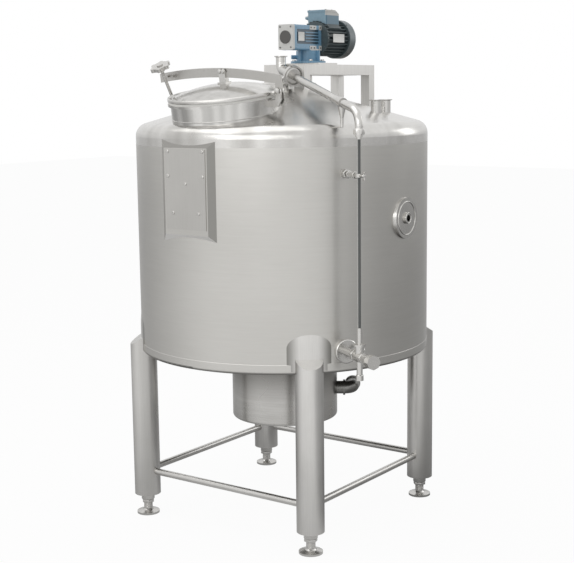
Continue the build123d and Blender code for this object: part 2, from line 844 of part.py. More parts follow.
def make_gearbox():
    low = drive_axis_z - gearbox_height / 2
    high = drive_axis_z + gearbox_height / 2
    body = block(-gearbox_half_width, gearbox_half_width, gearbox_front_y, gearbox_back_y, low, high)
    body = fillet(body.edges().filter_by(Axis.Y), gearbox_edge)
    recess_low = drive_axis_z + recess_lift - recess_height / 2
    recess_front = gearbox_front_y + front_flange_thickness + boss_length
    recess_back = gearbox_back_y - front_flange_thickness
    web = gearbox_half_width - gearbox_recess
    for side in (-1, 1):
        near, far = sorted((side * web, side * (gearbox_half_width + 1)))
        body -= block(near, far, recess_front, recess_back, recess_low, recess_low + recess_height)
    # Cooling ribs run along the recess behind the bare plate.
    rib_front = (recess_front + recess_back) / 2 - boss_length
    for i in range(rib_count):
        z = recess_low + recess_height * (i + 1) / (rib_count + 1)
        body += block(-gearbox_half_width, gearbox_half_width, rib_front, recess_back,
                      z - rib_thickness / 2, z + rib_thickness / 2)
    front = gearbox_front_y + front_flange_thickness
    body += fillet(gearbox_pad(gearbox_front_y, front, low, high).edges().filter_by(Axis.Y), gearbox_edge)
    for z in (low, high - boss_length):
        body += gearbox_pad(gearbox_back_y - boss_length, gearbox_back_y, z, z + boss_length)
        body += gearbox_pad(drive_y - 2 * boss_length, drive_y + boss_length / 2, z + 1, z + boss_length - 1)
        for x in (boss_inset - gearbox_half_width, gearbox_half_width - boss_inset):
            corner = Plane(origin=(x, front, z + boss_length / 2), z_dir=(0, 1, 0))
            body += corner * disc(boss_radius, -1, boss_length)
    base = flange_base()
    neck = disc(output_neck_radius, base, low + gearbox_edge)
    neck += disc(output_flange_radius, base, base + output_flange_thickness)
    rib_reach = output_neck_radius + neck_rib_reach
    neck += block(-rib_reach, rib_reach, -neck_rib_thickness / 2, neck_rib_thickness / 2, base, low)
    neck += block(-neck_rib_thickness / 2, neck_rib_thickness / 2, -rib_reach, 0, base, low)
    plug = Plane(origin=(-output_neck_radius / 2, 0, (base + low) / 2), z_dir=(-1, -1, 0))
    neck += plug * disc(neck_plug_radius, 0, output_neck_radius / 2 + 2 * neck_plug_length)
    body += Pos(0, drive_y, 0) * neck
    cover = Plane(origin=(0, gearbox_front_y - end_cover_proud, drive_axis_z), z_dir=(0, 1, 0))
    body += cover * disc(end_cover_radius, 0, front_flange_thickness)
    bore = disc(shaft_radius + pin_clearance, base, base + shaft_engagement + 2)
    return body - Pos(0, drive_y, 0) * bore


def motor_plane(y):
    return Plane(origin=(0, y, drive_axis_z), x_dir=(1, 0, 0), z_dir=(0, 1, 0))


def make_motor():
    length = motor_back_y - gearbox_back_y
    section = Circle(motor_core_radius)
    for i in range(motor_fins):
        turn = Rot(0, 0, (i + 0.5) * 360 / motor_fins)
        section += turn * Pos(motor_fin_radius / 2, 0) * Rectangle(motor_fin_radius, motor_fin_width)
    motor = extrude(motor_plane(gearbox_back_y) * section, length)
    motor += motor_plane(gearbox_back_y) * disc(adapter_radius, 0, adapter_width)
    # Foot pads stand on the fins below the axis, on both sides.
    pad_start = gearbox_back_y + 2 * adapter_width
    for angle in (-45, 225):
        turn = Rot(0, 0, angle) * block(0, motor_fin_radius + motor_pad_proud, -motor_pad_width / 2,
                                        motor_pad_width / 2, 0, motor_pad_length)
        motor += motor_plane(pad_start) * turn
    motor -= motor_plane(cowl_front_y) * disc(motor_fin_radius + cowl_gap, 0, cowl_length)
    # The end shield carries the rim of the fan cowl.
    motor += motor_plane(cowl_front_y) * disc(cowl_radius - cowl_wall - cowl_fit, 0, end_shield_width)
    return motor - block(-box_width / 2, box_width / 2, box_front_y, box_back_y, box_bottom_z, box_top_z)


def make_cowl():
    depth = cowl_back_y - cowl_front_y
    outer = disc(cowl_radius, 0, depth)
    outer = chamfer(outer.edges().group_by(Axis.Z)[-1], cowl_bevel, cowl_bevel)
    inner = disc(cowl_radius - cowl_wall, 0, depth - cowl_bevel - cowl_wall)
    return motor_plane(cowl_front_y) * (outer - inner)


def make_terminal_box():
    half = box_width / 2
    edge = box_lid_edge
    box = block(-half, half, box_front_y, box_back_y, box_bottom_z, box_top_z - box_lid)
    lid = block(-half - edge, half + edge, box_front_y - edge, box_back_y + edge, box_top_z - box_lid, box_top_z)
    box = fillet(box.edges().filter_by(Axis.Z), box_corner) + fillet(lid.edges().filter_by(Axis.Z), box_corner)
    # The lid falls away towards the fan.
    slope = Polyline((box_back_y + edge - box_slope_length, box_top_z), (box_back_y + edge, box_top_z),
                     (box_back_y + edge, box_top_z - box_slope_drop),
                     (box_back_y + edge - box_slope_length, box_top_z))
    wedge = extrude(Plane(origin=(-half - edge, 0, 0), x_dir=(0, 1, 0), z_dir=(1, 0, 0)) * make_face(slope),
                    box_width + 2 * edge)
    at = Plane(origin=(-half, box_front_y + gland_length, (box_bottom_z + box_top_z) / 2), z_dir=(-1, 0, 0))
    gland = at * (disc(gland_radius, -1, gland_length * 0.6) + disc(gland_radius * 0.7, 0, gland_length))
    # The finned barrel meets the underside of the box.
    barrel = motor_plane(gearbox_back_y) * disc(motor_core_radius, 0, motor_length)
    return box + gland - wedge - barrel


def make_agitator():
    top = flange_base() + shaft_engagement
    agitator = disc(shaft_radius, shaft_bottom_z, top)
    for number, rise in enumerate(paddle_rises):
        blade = Box(paddle_length, paddle_thickness, paddle_height)
        blade = Rot(0, 0, 90 * number) * Pos(0, 0, shaft_bottom_z + rise) * Rot(paddle_pitch, 0, 0) * blade
        agitator += blade
    return Pos(0, drive_y, 0) * agitator


def make_seal(envelope):
    top = roof_z(abs(drive_y)) + seal_height
    house = disc(seal_radius, shoulder_z, top)
    house = chamfer(house.edges().group_by(Axis.Z)[-1], 4)
    bore = disc(shaft_radius + seal_bore_clearance, shoulder_z, top)
    return Pos(0, drive_y, 0) * (house - bore) - envelope


# Vent and level gauge

def ferrule(plane, radius, bore):
    """A clamp ferrule whose flat face lies on the plane, body behind it."""
    lip = Cone(radius - clamp_lip, radius, 2, align=(Align.CENTER, Align.CENTER, Align.MAX))
    flat = Cylinder(radius, ferrule_thickness, align=(Align.CENTER, Align.CENTER, Align.MAX))
    hole = Cylinder(bore, ferrule_thickness + 5, align=(Align.CENTER, Align.CENTER, Align.MAX))
    return plane * (flat + Pos(0, 0, -ferrule_thickness) * lip - hole)


def make_vent():
    top = (0, vent_y, vent_top_z)
    corner = (0, vent_y, vent_corner_z)
    end = line_point(clamp_distance)
    foot = line_point(stub_distance)
    seat = roof_z(math.hypot(foot.X, foot.Y))
    bore = vent_radius - tube_wall
    pipe = swept([top, corner, end], vent_bend, vent_radius)
    stub = rod((foot.X, foot.Y, seat - roof_drop), (foot.X, foot.Y, foot.Z), stub_radius)
    hole = swept([top, corner, end], vent_bend, bore)
    hole += rod((foot.X, foot.Y, seat - 2 * roof_drop), (foot.X, foot.Y, foot.Z), bore)
    collar = ferrule(Plane(origin=top, z_dir=(0, 0, 1)), ferrule_radius, bore)
    end_collar = ferrule(Plane(origin=end, z_dir=line_direction()), clamp_radius - clamp_lip, bore)
    return pipe + stub + collar + end_collar - hole


def make_vent_clamp():
    centre = line_point(clamp_distance)
    plane = Plane(origin=centre, z_dir=line_direction())
    half = clamp_width / 2
    band = disc(clamp_radius, -half, half) - disc(clamp_radius - clamp_band, -half, half)
    return plane * band


def make_gauge_pipe():
    start = line_point(clamp_distance)
    corner = gauge_point(gauge_corner_z)
    end = gauge_point(union_top_z)
    points = [start, corner, end]
    pipe = swept(points, pipe_bend, pipe_radius)
    collar = ferrule(Plane(origin=start, z_dir=-line_direction()), clamp_radius - clamp_lip,
                     pipe_radius - tube_wall)
    hollow = swept(points, pipe_bend, pipe_radius - tube_wall)
    return pipe + collar + make_union() - hollow


def make_support(envelope):
    at = line_point(support_distance)
    top = at.Z - pipe_radius
    post = rod((at.X, at.Y, shoulder_z), (at.X, at.Y, top), support_foot_radius)
    cone = Cone(support_foot_radius, support_radius, support_cone, align=(Align.CENTER, Align.CENTER, Align.MAX))
    post += Pos(at.X, at.Y, top) * cone
    plane = Plane(origin=at, z_dir=line_direction())
    half = support_collar_width / 2
    collar = plane * ring(pipe_radius + support_collar_wall, pipe_radius + fit_clearance, -half, half)
    around = plane * disc(pipe_radius + support_collar_wall / 2, -4 * half, 4 * half)
    return (post - envelope - around) + collar


def make_union():
    """The nut under the bend that takes the top of the glass."""
    low = union_top_z - union_height
    p = gauge_point(0)
    base = low - sleeve_length
    nut = chamfer(disc(union_radius, low, union_top_z).edges().group_by(Axis.Z)[-1], 3)
    body = nut + disc(collar_radius, low - collar_height / 2, low) + disc(sleeve_radius, base, low)
    body -= disc(glass_radius + fit_clearance, base, low + union_socket)
    return Pos(p.X, p.Y, 0) * body


def make_glass():
    p = gauge_point(0)
    return Pos(p.X, p.Y, 0) * disc(glass_radius, glass_bottom_z, union_top_z - union_height + union_socket)


def make_clip():
    p = gauge_point(clip_z)
    low = clip_z - clip_thickness / 2
    high = clip_z + clip_thickness / 2
    bar = block(inner_radius, gauge_radius_out, -clip_width / 4, clip_width / 4, low, high)
    bar += block(inner_radius, body_radius + clip_eye_wall, -clip_width, clip_width,
                 clip_z - clip_foot_height / 2, clip_z + clip_foot_height / 2)
    bar -= disc(body_radius, body_bottom_z, roof_seam_z)
    bar += Pos(gauge_radius_out, 0, clip_z) * Rot(0, 90, 0) * disc(clip_screw_radius, 0, clip_screw_length)
    eye = Pos(p.X, p.Y, 0) * disc(glass_radius + clip_eye_wall, low, high)
    return Rot(0, 0, gauge_angle) * bar + eye - Pos(p.X, p.Y, 0) * disc(glass_radius, body_bottom_z, roof_seam_z)


def valve_plane():
    """Frame of the bottom valve: origin on the wall's face, z outwards through the valve."""
    return Plane(origin=polar(body_radius, gauge_angle, valve_z), x_dir=(0, 0, 1), z_dir=polar(1, gauge_angle))


def make_valve(envelope):
    reach = gauge_standoff
    plane = valve_plane()
    flange = disc(valve_flange_radius, -valve_flange_width, valve_flange_width)
    flange = chamfer(flange.edges().group_by(Axis.Z)[-1], valve_flange_edge)
    valve = plane * flange
    valve += plane * disc(valve_neck_radius, 0, reach)
    valve += plane * disc(valve_body_radius, reach - valve_body_back, reach + valve_body_front)
    valve += plane * disc(valve_stem_radius, reach, reach + valve_stem_length)
    p = gauge_point(0)
    here = Pos(p.X, p.Y, 0)
    gland_top = valve_z + valve_gland_height
    valve += here * disc(valve_gland_radius, valve_z, gland_top)
    valve += here * disc(valve_gland_rim, gland_top, gland_top + valve_gland_rim_height)
    valve += here * disc(sleeve_radius, valve_z, glass_bottom_z + sleeve_length)
    nipple_low = valve_z - nipple_length
    valve += here * disc(nipple_radius, nipple_low, valve_z)
    collar = disc(nipple_end_radius, nipple_low, nipple_low + nipple_end_height)
    valve += here * chamfer(collar.edges().group_by(Axis.Z)[-1], nipple_end_radius - nipple_radius - 1)
    valve -= envelope
    valve -= here * disc(nipple_bore, nipple_low, valve_z - valve_body_radius)
    return valve - here * disc(glass_radius + fit_clearance, glass_bottom_z, glass_bottom_z + 2 * sleeve_length)


def make_valve_knob():
    """A knob that flares from a round neck to an eight-sided end."""
    start = gauge_standoff + valve_knob_gap
    flare = Cone(valve_knob_neck, valve_knob_flare, valve_knob_length, align=(Align.CENTER, Align.CENTER, Align.MIN))
    sides = extrude(RegularPolygon(valve_knob_radius, valve_knob_sides), valve_knob_length)
    knob = Pos(0, 0, start) * (flare & sides)
    knob -= disc(valve_stem_radius + pin_clearance, start, gauge_standoff + valve_stem_length + pin_clearance)
    return valve_plane() * knob


def make_nozzles():
    nozzles = None
    for angle in nozzle_angles:
        at = polar(nozzle_circle, angle)
        low = roof_z(nozzle_circle) - roof_drop
        pipe = rod((at.X, at.Y, low), (at.X, at.Y, nozzle_top_z), nozzle_radius)
        pipe += ferrule(Plane(origin=(at.X, at.Y, nozzle_top_z)), ferrule_radius, 1)
        pipe -= rod((at.X, at.Y, low - 30), (at.X, at.Y, nozzle_top_z), nozzle_radius - tube_wall)
        nozzles = pipe if nozzles is None else nozzles + pipe
    return nozzles


def build():
    envelope = body_envelope()
    hollow = cavity()
    shell = envelope - hollow
    pieces = {
        "tank_roof": make_roof(shell),
        "tank_wall": make_wall(shell),
        "tank_floor": make_floor(shell),
        "sump_drum": make_drum(envelope),
        "drain_outlet": make_outlet(),
        "panel_pad": make_panel_pad(envelope),
        "panel_plate": make_panel_plate(),
        "probe_pocket": make_pocket(envelope),
        "manway_neck": make_neck(hollow),
        "manway_gasket": make_gasket(),
        "manway_lid": make_lid(),
        "lid_arm": make_arm(),
        "lid_bracket": make_lid_bracket(),
        "hinge_lugs": make_hinge_lugs(),
        "bolt_lugs": make_bolt_lugs(),
        "swing_bolt": make_swing_bolt(),
        "hand_knob": make_hand_knob(),
        "bridge_rails": make_bridge_rails(),
        "bridge_crossbars": make_bridge_crossbars(),
        "bridge_posts": make_bridge_posts(envelope),
        "bridge_plate": make_bridge_plate(),
        "gearbox": make_gearbox(),
        "motor_frame": make_motor(),
        "fan_cowl": make_cowl(),
        "terminal_box": make_terminal_box(),
        "agitator": make_agitator(),
        "shaft_seal": make_seal(envelope),
        "vent_pipe": make_vent(),
        "vent_clamp": make_vent_clamp(),
        "gauge_pipe": make_gauge_pipe(),
        "pipe_support": make_support(envelope),
        "gauge_glass": make_glass(),
        "gauge_clip": make_clip(),
        "gauge_valve": make_valve(envelope),
        "valve_knob": make_valve_knob(),
        "roof_nozzles": make_nozzles(),
    }
    for name, angle in leg_angles.items():
        pieces["leg_" + name] = make_leg(angle, envelope)
    pieces["levelling_feet"] = make_feet()
    sides = {"front": (-135, -45), "right": (-45, 45), "back": (45, 135), "left": (135, 225)}
    for name, (first, second) in sides.items():
        pieces["brace_" + name] = make_brace(first, second)
    return pieces


os.makedirs("parts", exist_ok=True)
for name, shape in build().items():
    export_step(Pos(-centre_shift, 0, 0) * shape, f"parts/{name}.step")
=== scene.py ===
import bpy
import bmesh
import json
import math
from mathutils import Matrix, Vector


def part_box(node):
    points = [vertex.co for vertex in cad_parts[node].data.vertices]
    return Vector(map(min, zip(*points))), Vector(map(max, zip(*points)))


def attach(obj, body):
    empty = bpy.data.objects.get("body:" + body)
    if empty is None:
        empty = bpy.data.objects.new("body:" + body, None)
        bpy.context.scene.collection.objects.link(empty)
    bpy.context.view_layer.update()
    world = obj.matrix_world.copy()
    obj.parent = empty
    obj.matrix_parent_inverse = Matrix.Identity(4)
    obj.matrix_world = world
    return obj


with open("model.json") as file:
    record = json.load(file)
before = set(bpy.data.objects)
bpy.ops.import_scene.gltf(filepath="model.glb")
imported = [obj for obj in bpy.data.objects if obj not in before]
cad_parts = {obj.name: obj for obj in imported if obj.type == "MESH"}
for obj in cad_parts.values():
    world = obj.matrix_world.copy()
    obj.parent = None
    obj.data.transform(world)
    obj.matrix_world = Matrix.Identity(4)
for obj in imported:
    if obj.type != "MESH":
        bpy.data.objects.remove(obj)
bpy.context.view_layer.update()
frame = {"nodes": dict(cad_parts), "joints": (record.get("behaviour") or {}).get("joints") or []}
nodes = frame["nodes"]
joints = {joint["name"]: joint for joint in frame["joints"]}
print("frame loaded with", len(nodes), "nodes")


def middleOf(node):
    low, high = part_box(node)
    return (low + high) / 2


straightUp = Vector((0, 0, 1))
flatPart = Vector((1, 1, 0))
tankAxis = middleOf("levelling_feet") * flatPart  # runs midway between the feet


def fromAxis(radius, degrees, height):
    turn = math.radians(degrees)
    return tankAxis + Vector((radius * math.cos(turn), radius * math.sin(turn), height))


# the manway's own frame: x along X, y along the lid's hinge, z up the neck
hinge = joints["lid_hinge"]
neckY = Vector(hinge["axis"]).normalized()
neckX = Vector((1, 0, 0))
neckZ = neckX.cross(neckY)
hingeOffset = {"x": 0.243, "h": 0.014}
neckCentre = Vector(hinge["pos_m"]) - neckX * hingeOffset["x"] - neckZ * hingeOffset["h"]


def onManway(x, y, h):
    return neckCentre + neckX * x + neckY * y + neckZ * h


# camera, measured from the photo: metres and degrees
cameraSettings = {"place": (2.815, -3.866, 1.648), "heading": 35.9, "downTilt": 8.818, "roll": -0.692,
                  "lens": 77.1, "sensor": 36}


def makeCamera(settings):
    data = bpy.data.cameras.new("photoCamera")
    data.lens = settings["lens"]
    data.sensor_width = settings["sensor"]
    camera = bpy.data.objects.new("photoCamera", data)
    bpy.context.scene.collection.objects.link(camera)
    heading, tilt, roll = (math.radians(settings[key]) for key in ("heading", "downTilt", "roll"))
    level = Vector((math.cos(heading), math.sin(heading), 0))
    ahead = Vector((-math.sin(heading) * math.cos(tilt), math.cos(heading) * math.cos(tilt), -math.sin(tilt)))
    above = level.cross(ahead)
    right = level * math.cos(roll) + above * math.sin(roll)
    above = above * math.cos(roll) - level * math.sin(roll)
    turn = Matrix((right, above, -ahead)).transposed().to_4x4()
    camera.matrix_world = Matrix.Translation(Vector(settings["place"]) + tankAxis) @ turn
    bpy.context.scene.camera = camera


makeCamera(cameraSettings)
bpy.context.scene.view_settings.view_transform = "Standard"
print("camera placed")


# shader helpers
def feed(tree, node, inputs):
    # a socket is linked, and anything else is set on the input itself
    for key, value in inputs.items():
        if isinstance(value, bpy.types.NodeSocket):
            tree.links.new(value, node.inputs[key])
        else:
            node.inputs[key].default_value = value


def addNode(tree, kind, place, inputs=None, **values):
    node = tree.nodes.new(kind)
    node.location = place
    for key, value in values.items():
        setattr(node, key, value)
    feed(tree, node, inputs or {})
    return node


def mathNode(tree, place, operation, *values):
    node = addNode(tree, "ShaderNodeMath", place, dict(enumerate(values)), operation=operation)
    return node.outputs[0]


def vectorNode(tree, place, operation, *values):
    node = addNode(tree, "ShaderNodeVectorMath", place, dict(enumerate(values)), operation=operation)
    return node.outputs["Value" if operation in ("LENGTH", "DOT_PRODUCT") else "Vector"]


def mapRange(tree, place, value, reach, result=(0, 1), kind="LINEAR"):
    inputs = {"Value": value, "From Min": reach[0], "From Max": reach[1],
              "To Min": result[0], "To Max": result[1]}
    return addNode(tree, "ShaderNodeMapRange", place, inputs, interpolation_type=kind).outputs["Result"]


def mixColour(tree, place, share, first, second, **values):
    inputs = {"Factor": share, "A": first, "B": second}
    return addNode(tree, "ShaderNodeMix", place, inputs, data_type="RGBA", **values).outputs["Result"]


def noiseNode(tree, place, inputs, **values):
    return addNode(tree, "ShaderNodeTexNoise", place, inputs, **values).outputs["Fac"]


def bumpNode(tree, place, strength, depth, height):
    inputs = {"Strength": strength, "Distance": depth, "Height": height}
    return addNode(tree, "ShaderNodeBump", place, inputs).outputs["Normal"]


def objectPlace(tree, place):
    return addNode(tree, "ShaderNodeTexCoord", place).outputs["Object"]


def splitVector(tree, place, vector):
    return addNode(tree, "ShaderNodeSeparateXYZ", place, {0: vector}).outputs


def startMaterial(name):
    material = bpy.data.materials.new(name)
    material.use_nodes = True
    return material, material.node_tree


def opaque(colour):
    return (*colour, 1)


def toneColour(tree, share, tone, place):
    # mixes a tone over the colour the shader has so far
    base = tree.nodes["Principled BSDF"].inputs["Base Color"]
    tree.links.new(mixColour(tree, place, share, base.links[0].from_socket, opaque(tone)), base)


def startGroup(name, inputs, outputs):
    # inputs and outputs give each socket's name and kind
    group = bpy.data.node_groups.new(name, "ShaderNodeTree")
    for direction, sockets in (("INPUT", inputs), ("OUTPUT", outputs)):
        for label, kind in sockets.items():
            group.interface.new_socket(name=label, in_out=direction, socket_type="NodeSocket" + kind)
    given = addNode(group, "NodeGroupInput", (-1000, 0)).outputs
    return group, given, addNode(group, "NodeGroupOutput", (400, 0))


def makeGrainGroup():
    # brush lines and soft smudges, both 0 to 1; the vector comes in already stretched
    inputs = {"Stretched": "Vector", "Plain": "Vector", "Smudge Size": "Float"}
    group, given, sink = startGroup("brushGrain", inputs, {"Grain": "Float", "Smudge": "Float"})
    fine = {"Vector": given["Stretched"], "Scale": 1, "Detail": 5, "Roughness": 0.7}
    cloud = {"Vector": given["Plain"], "Scale": given["Smudge Size"], "Detail": 3}
    feed(group, sink, {"Grain": noiseNode(group, (-300, 150), fine),
                       "Smudge": noiseNode(group, (-300, -150), cloud)})
    return group


def makeReflectionBandGroup():
    # painted reflection: darker bands around an upright axis that grow with the distance from it
    inputs = {"Place": "Vector", "Axis": "Vector", "Seed": "Float", "Count": "Float", "Edge Start": "Float",
              "Edge End": "Float", "Reach Start": "Float", "Reach End": "Float"}
    group, given, sink = startGroup("paintedReflectionStreaks", inputs, {"Share": "Float"})
    offset = vectorNode(group, (-800, 0), "SUBTRACT", given["Place"], given["Axis"])
    flat = vectorNode(group, (-600, 0), "MULTIPLY", offset, flatPart)
    around = vectorNode(group, (-400, 100), "NORMALIZE", flat)
    bands = noiseNode(group, (-200, 100), {"Vector": around, "W": given["Seed"], "Scale": given["Count"],
                                           "Detail": 1}, noise_dimensions="4D")
    share = mapRange(group, (0, 100), bands, (given["Edge Start"], given["Edge End"]))
    away = vectorNode(group, (-400, -150), "LENGTH", flat)
    fade = mapRange(group, (-200, -150), away, (given["Reach Start"], given["Reach End"]))
    feed(group, sink, {"Share": mathNode(group, (200, 0), "MULTIPLY", share, fade)})
    return group


def makeFacingGroup():
    # how far a face looks along a direction, times how far it lies up between two heights
    inputs = {"Normal": "Vector", "Direction": "Vector", "Turn Start": "Float", "Turn End": "Float",
              "Place": "Vector", "Low": "Float", "High": "Float"}
    group, given, sink = startGroup("facingShare", inputs, {"Share": "Float"})
    along = vectorNode(group, (-700, 100), "DOT_PRODUCT", given["Normal"], given["Direction"])
    turned = mapRange(group, (-500, 100), along, (given["Turn Start"], given["Turn End"]))
    height = splitVector(group, (-700, -100), given["Place"])["Z"]
    raised = mapRange(group, (-500, -100), height, (given["Low"], given["High"]))
    feed(group, sink, {"Share": mathNode(group, (-200, 0), "MULTIPLY", turned, raised)})
    return group


grainGroup = makeGrainGroup()
reflectionBandGroup = makeReflectionBandGroup()
facingGroup = makeFacingGroup()

# steels: two tones, roughness, how the brushing is stretched, size of the smudges, strength of the bump, and
# on the roof and neck darker bands of painted reflection
steelLooks = {
    "shellSteel": {"dark": (0.525, 0.515, 0.49), "light": (0.58, 0.57, 0.545), "rough": (0.27, 0.36),
                   "stretch": (7, 7, 130), "smudgeSize": 2.2, "bump": 0.035},
    "padSteel": {"dark": (0.50, 0.49, 0.465), "light": (0.55, 0.54, 0.515), "rough": (0.27, 0.36),
                 "stretch": (7, 7, 130), "smudgeSize": 2.2, "bump": 0.035},
    "roofSteel": {"dark": (0.60, 0.59, 0.57), "light": (0.70, 0.69, 0.67), "rough": (0.20, 0.30),
                  "stretch": (60, 60, 60), "smudgeSize": 3.0, "bump": 0.05,
                  "paintedReflectionBands": {"axis": tankAxis, "seed": 11.0, "count": 4.5, "edge": (0.42, 0.62),
                              "tone": (0.43, 0.42, 0.40), "reach": (0.42, 0.53)}},
    "neckSteel": {"dark": (0.62, 0.61, 0.59), "light": (0.72, 0.71, 0.69), "rough": (0.18, 0.28),
                  "stretch": (220, 220, 220), "smudgeSize": 14.0, "bump": 0.05,
                  "paintedReflectionBands": {"axis": neckCentre * flatPart, "seed": 5.0, "count": 3.0, "edge": (0.42, 0.62),
                              "tone": (0.38, 0.375, 0.36), "reach": (0.0, 0.1)}},
    "lidSteel": {"dark": (0.46, 0.45, 0.43), "light": (0.74, 0.73, 0.71), "rough": (0.14, 0.26),
                 "stretch": (60, 60, 60), "smudgeSize": 12.0, "bump": 0.05, "grainShare": 0.15},
    "tubeSteel": {"dark": (0.54, 0.53, 0.51), "light": (0.65, 0.64, 0.62), "rough": (0.26, 0.36),
                  "stretch": (260, 260, 7), "smudgeSize": 6.0, "bump": 0.05},
    "legSteel": {"dark": (0.58, 0.57, 0.55), "light": (0.69, 0.68, 0.66), "rough": (0.26, 0.36),
                 "stretch": (260, 260, 7), "smudgeSize": 6.0, "bump": 0.05},
    "bridgeSteel": {"dark": (0.58, 0.57, 0.55), "light": (0.70, 0.69, 0.67), "rough": (0.40, 0.52),
                    "stretch": (160, 160, 7), "smudgeSize": 6.0, "bump": 0.05},
    "fittingSteel": {"dark": (0.55, 0.54, 0.52), "light": (0.64, 0.63, 0.61), "rough": (0.18, 0.28),
                     "stretch": (220, 220, 220), "smudgeSize": 14.0, "bump": 0.05},
    "drumSteel": {"dark": (0.48, 0.47, 0.45), "light": (0.63, 0.62, 0.60), "rough": (0.22, 0.34),
                  "stretch": (7, 7, 150), "smudgeSize": 4.0, "bump": 0.04},
    # painted shade: the drain outlet's steel is written dark, as it sits in shadow under the tank
    "shadedOutletSteel": {"dark": (0.18, 0.18, 0.17), "light": (0.30, 0.295, 0.285), "rough": (0.22, 0.34),
                    "stretch": (40, 40, 40), "smudgeSize": 8.0, "bump": 0.04},
    "plateSteel": {"dark": (0.46, 0.45, 0.43), "light": (0.52, 0.51, 0.49), "rough": (0.34, 0.44),
                   "stretch": (340, 20, 8), "smudgeSize": 5.0, "bump": 0.1},
}
grainDefaults = {"grainShare": 0.5, "contrast": (0.3, 0.7), "grainDepth": 0.0003}


def makeSteel(name, ownLook):
    look = {**grainDefaults, **ownLook}
    material, tree = startMaterial(name)
    place = objectPlace(tree, (-1300, 0))
    stretch = addNode(tree, "ShaderNodeMapping", (-1100, 150), {"Vector": place, "Scale": look["stretch"]})
    inputs = {"Stretched": stretch.outputs["Vector"], "Plain": place, "Smudge Size": look["smudgeSize"]}
    grain = addNode(tree, "ShaderNodeGroup", (-850, 0), inputs, node_tree=grainGroup).outputs
    smudge = mathNode(tree, (-600, -50), "MULTIPLY", grain["Smudge"], 1 - look["grainShare"])
    blend = mathNode(tree, (-600, 150), "MULTIPLY_ADD", grain["Grain"], look["grainShare"], smudge)
    tint = mapRange(tree, (-400, 150), blend, look["contrast"])
    feed(tree, tree.nodes["Principled BSDF"], {
        "Metallic": 1.0,
        "Base Color": mixColour(tree, (-200, 150), tint, opaque(look["dark"]), opaque(look["light"])),
        "Roughness": mapRange(tree, (-400, -150), grain["Smudge"], look["contrast"], look["rough"]),
        "Normal": bumpNode(tree, (-200, -350), look["bump"], look["grainDepth"], grain["Grain"])})
    if "paintedReflectionBands" in look:
        addPaintedReflectionBands(tree, look["paintedReflectionBands"])
    return material


# darkens the colour in bands of painted reflection
def addPaintedReflectionBands(tree, look):
    inputs = {"Place": objectPlace(tree, (-800, -700)), "Axis": look["axis"], "Seed": look["seed"],
              "Count": look["count"], "Edge Start": look["edge"][0], "Edge End": look["edge"][1],
              "Reach Start": look["reach"][0], "Reach End": look["reach"][1]}
    paintedReflectionBands = addNode(tree, "ShaderNodeGroup", (-500, -700), inputs, node_tree=reflectionBandGroup)
    toneColour(tree, paintedReflectionBands.outputs["Share"], look["tone"], (0, 150))


finishes = {name: makeSteel(name, look) for name, look in steelLooks.items()}

paintLooks = {
    "castPaint": {"dark": (0.11, 0.25, 0.38), "light": (0.19, 0.37, 0.53), "rough": (0.3, 0.45), "grain": 130,
                  "coat": 0.3},
    "boxPaint": {"dark": (0.15, 0.25, 0.32), "light": (0.23, 0.35, 0.42), "rough": (0.35, 0.5), "grain": 110,
                 "coat": 0.2},
    "finPaint": {"dark": (0.035, 0.05, 0.055), "light": (0.085, 0.11, 0.115), "rough": (0.35, 0.5),
                 "grain": 160},
    "cowlPaint": {"dark": (0.12, 0.145, 0.155), "light": (0.19, 0.22, 0.23), "rough": (0.34, 0.46),
                  "grain": 90, "coat": 0.1},
    "palePlate": {"dark": (0.58, 0.58, 0.56), "light": (0.70, 0.70, 0.68), "rough": (0.35, 0.5), "grain": 220,
                  "metallic": 0.3},
    "darkCap": {"dark": (0.05, 0.05, 0.048), "light": (0.10, 0.10, 0.095), "rough": (0.45, 0.6),
                "grain": 300},
    "sealRubber": {"dark": (0.62, 0.61, 0.58), "light": (0.72, 0.71, 0.68), "rough": (0.5, 0.65),
                   "grain": 300},
    "darkSteel": {"dark": (0.10, 0.10, 0.10), "light": (0.22, 0.22, 0.21), "rough": (0.3, 0.45), "grain": 300,
                  "metallic": 0.8},
    "seamShade": {"dark": (0.10, 0.10, 0.095), "light": (0.2, 0.2, 0.19), "rough": (0.4, 0.6), "grain": 300,
                  "metallic": 0.8},
}
paintDefaults = {"metallic": 0.0, "coat": 0.0, "coatRough": 0.2, "bump": 0.15, "grainDepth": 0.0004}


def makePaint(name, ownLook):
    look = {**paintDefaults, **ownLook}
    material, tree = startMaterial(name)
    place = objectPlace(tree, (-900, 0))
    noise = noiseNode(tree, (-700, 0), {"Vector": place, "Scale": look["grain"], "Detail": 6})
    feed(tree, tree.nodes["Principled BSDF"], {
        "Metallic": look["metallic"], "Coat Weight": look["coat"], "Coat Roughness": look["coatRough"],
        "Base Color": mixColour(tree, (-300, 150), noise, opaque(look["dark"]), opaque(look["light"])),
        "Roughness": mapRange(tree, (-300, -100), noise, (0, 1), look["rough"]),
        "Normal": bumpNode(tree, (-300, -300), look["bump"], look["grainDepth"], noise)})
    return material


finishes.update({name: makePaint(name, look) for name, look in paintLooks.items()})

tubeGlass = {"dark": (0.035, 0.04, 0.04), "light": (0.09, 0.095, 0.09), "cloud": 9, "rough": 0.08,
             "coat": 0.6}


def makeTubeGlass(look):
    material, tree = startMaterial("tubeGlass")
    noise = noiseNode(tree, (-700, 0), {"Vector": objectPlace(tree, (-900, 0)), "Scale": look["cloud"]})
    feed(tree, tree.nodes["Principled BSDF"], {
        "Roughness": look["rough"], "Coat Weight": look["coat"],
        "Base Color": mixColour(tree, (-300, 150), noise, opaque(look["dark"]), opaque(look["light"]))})
    return material


finishes["tubeGlass"] = makeTubeGlass(tubeGlass)
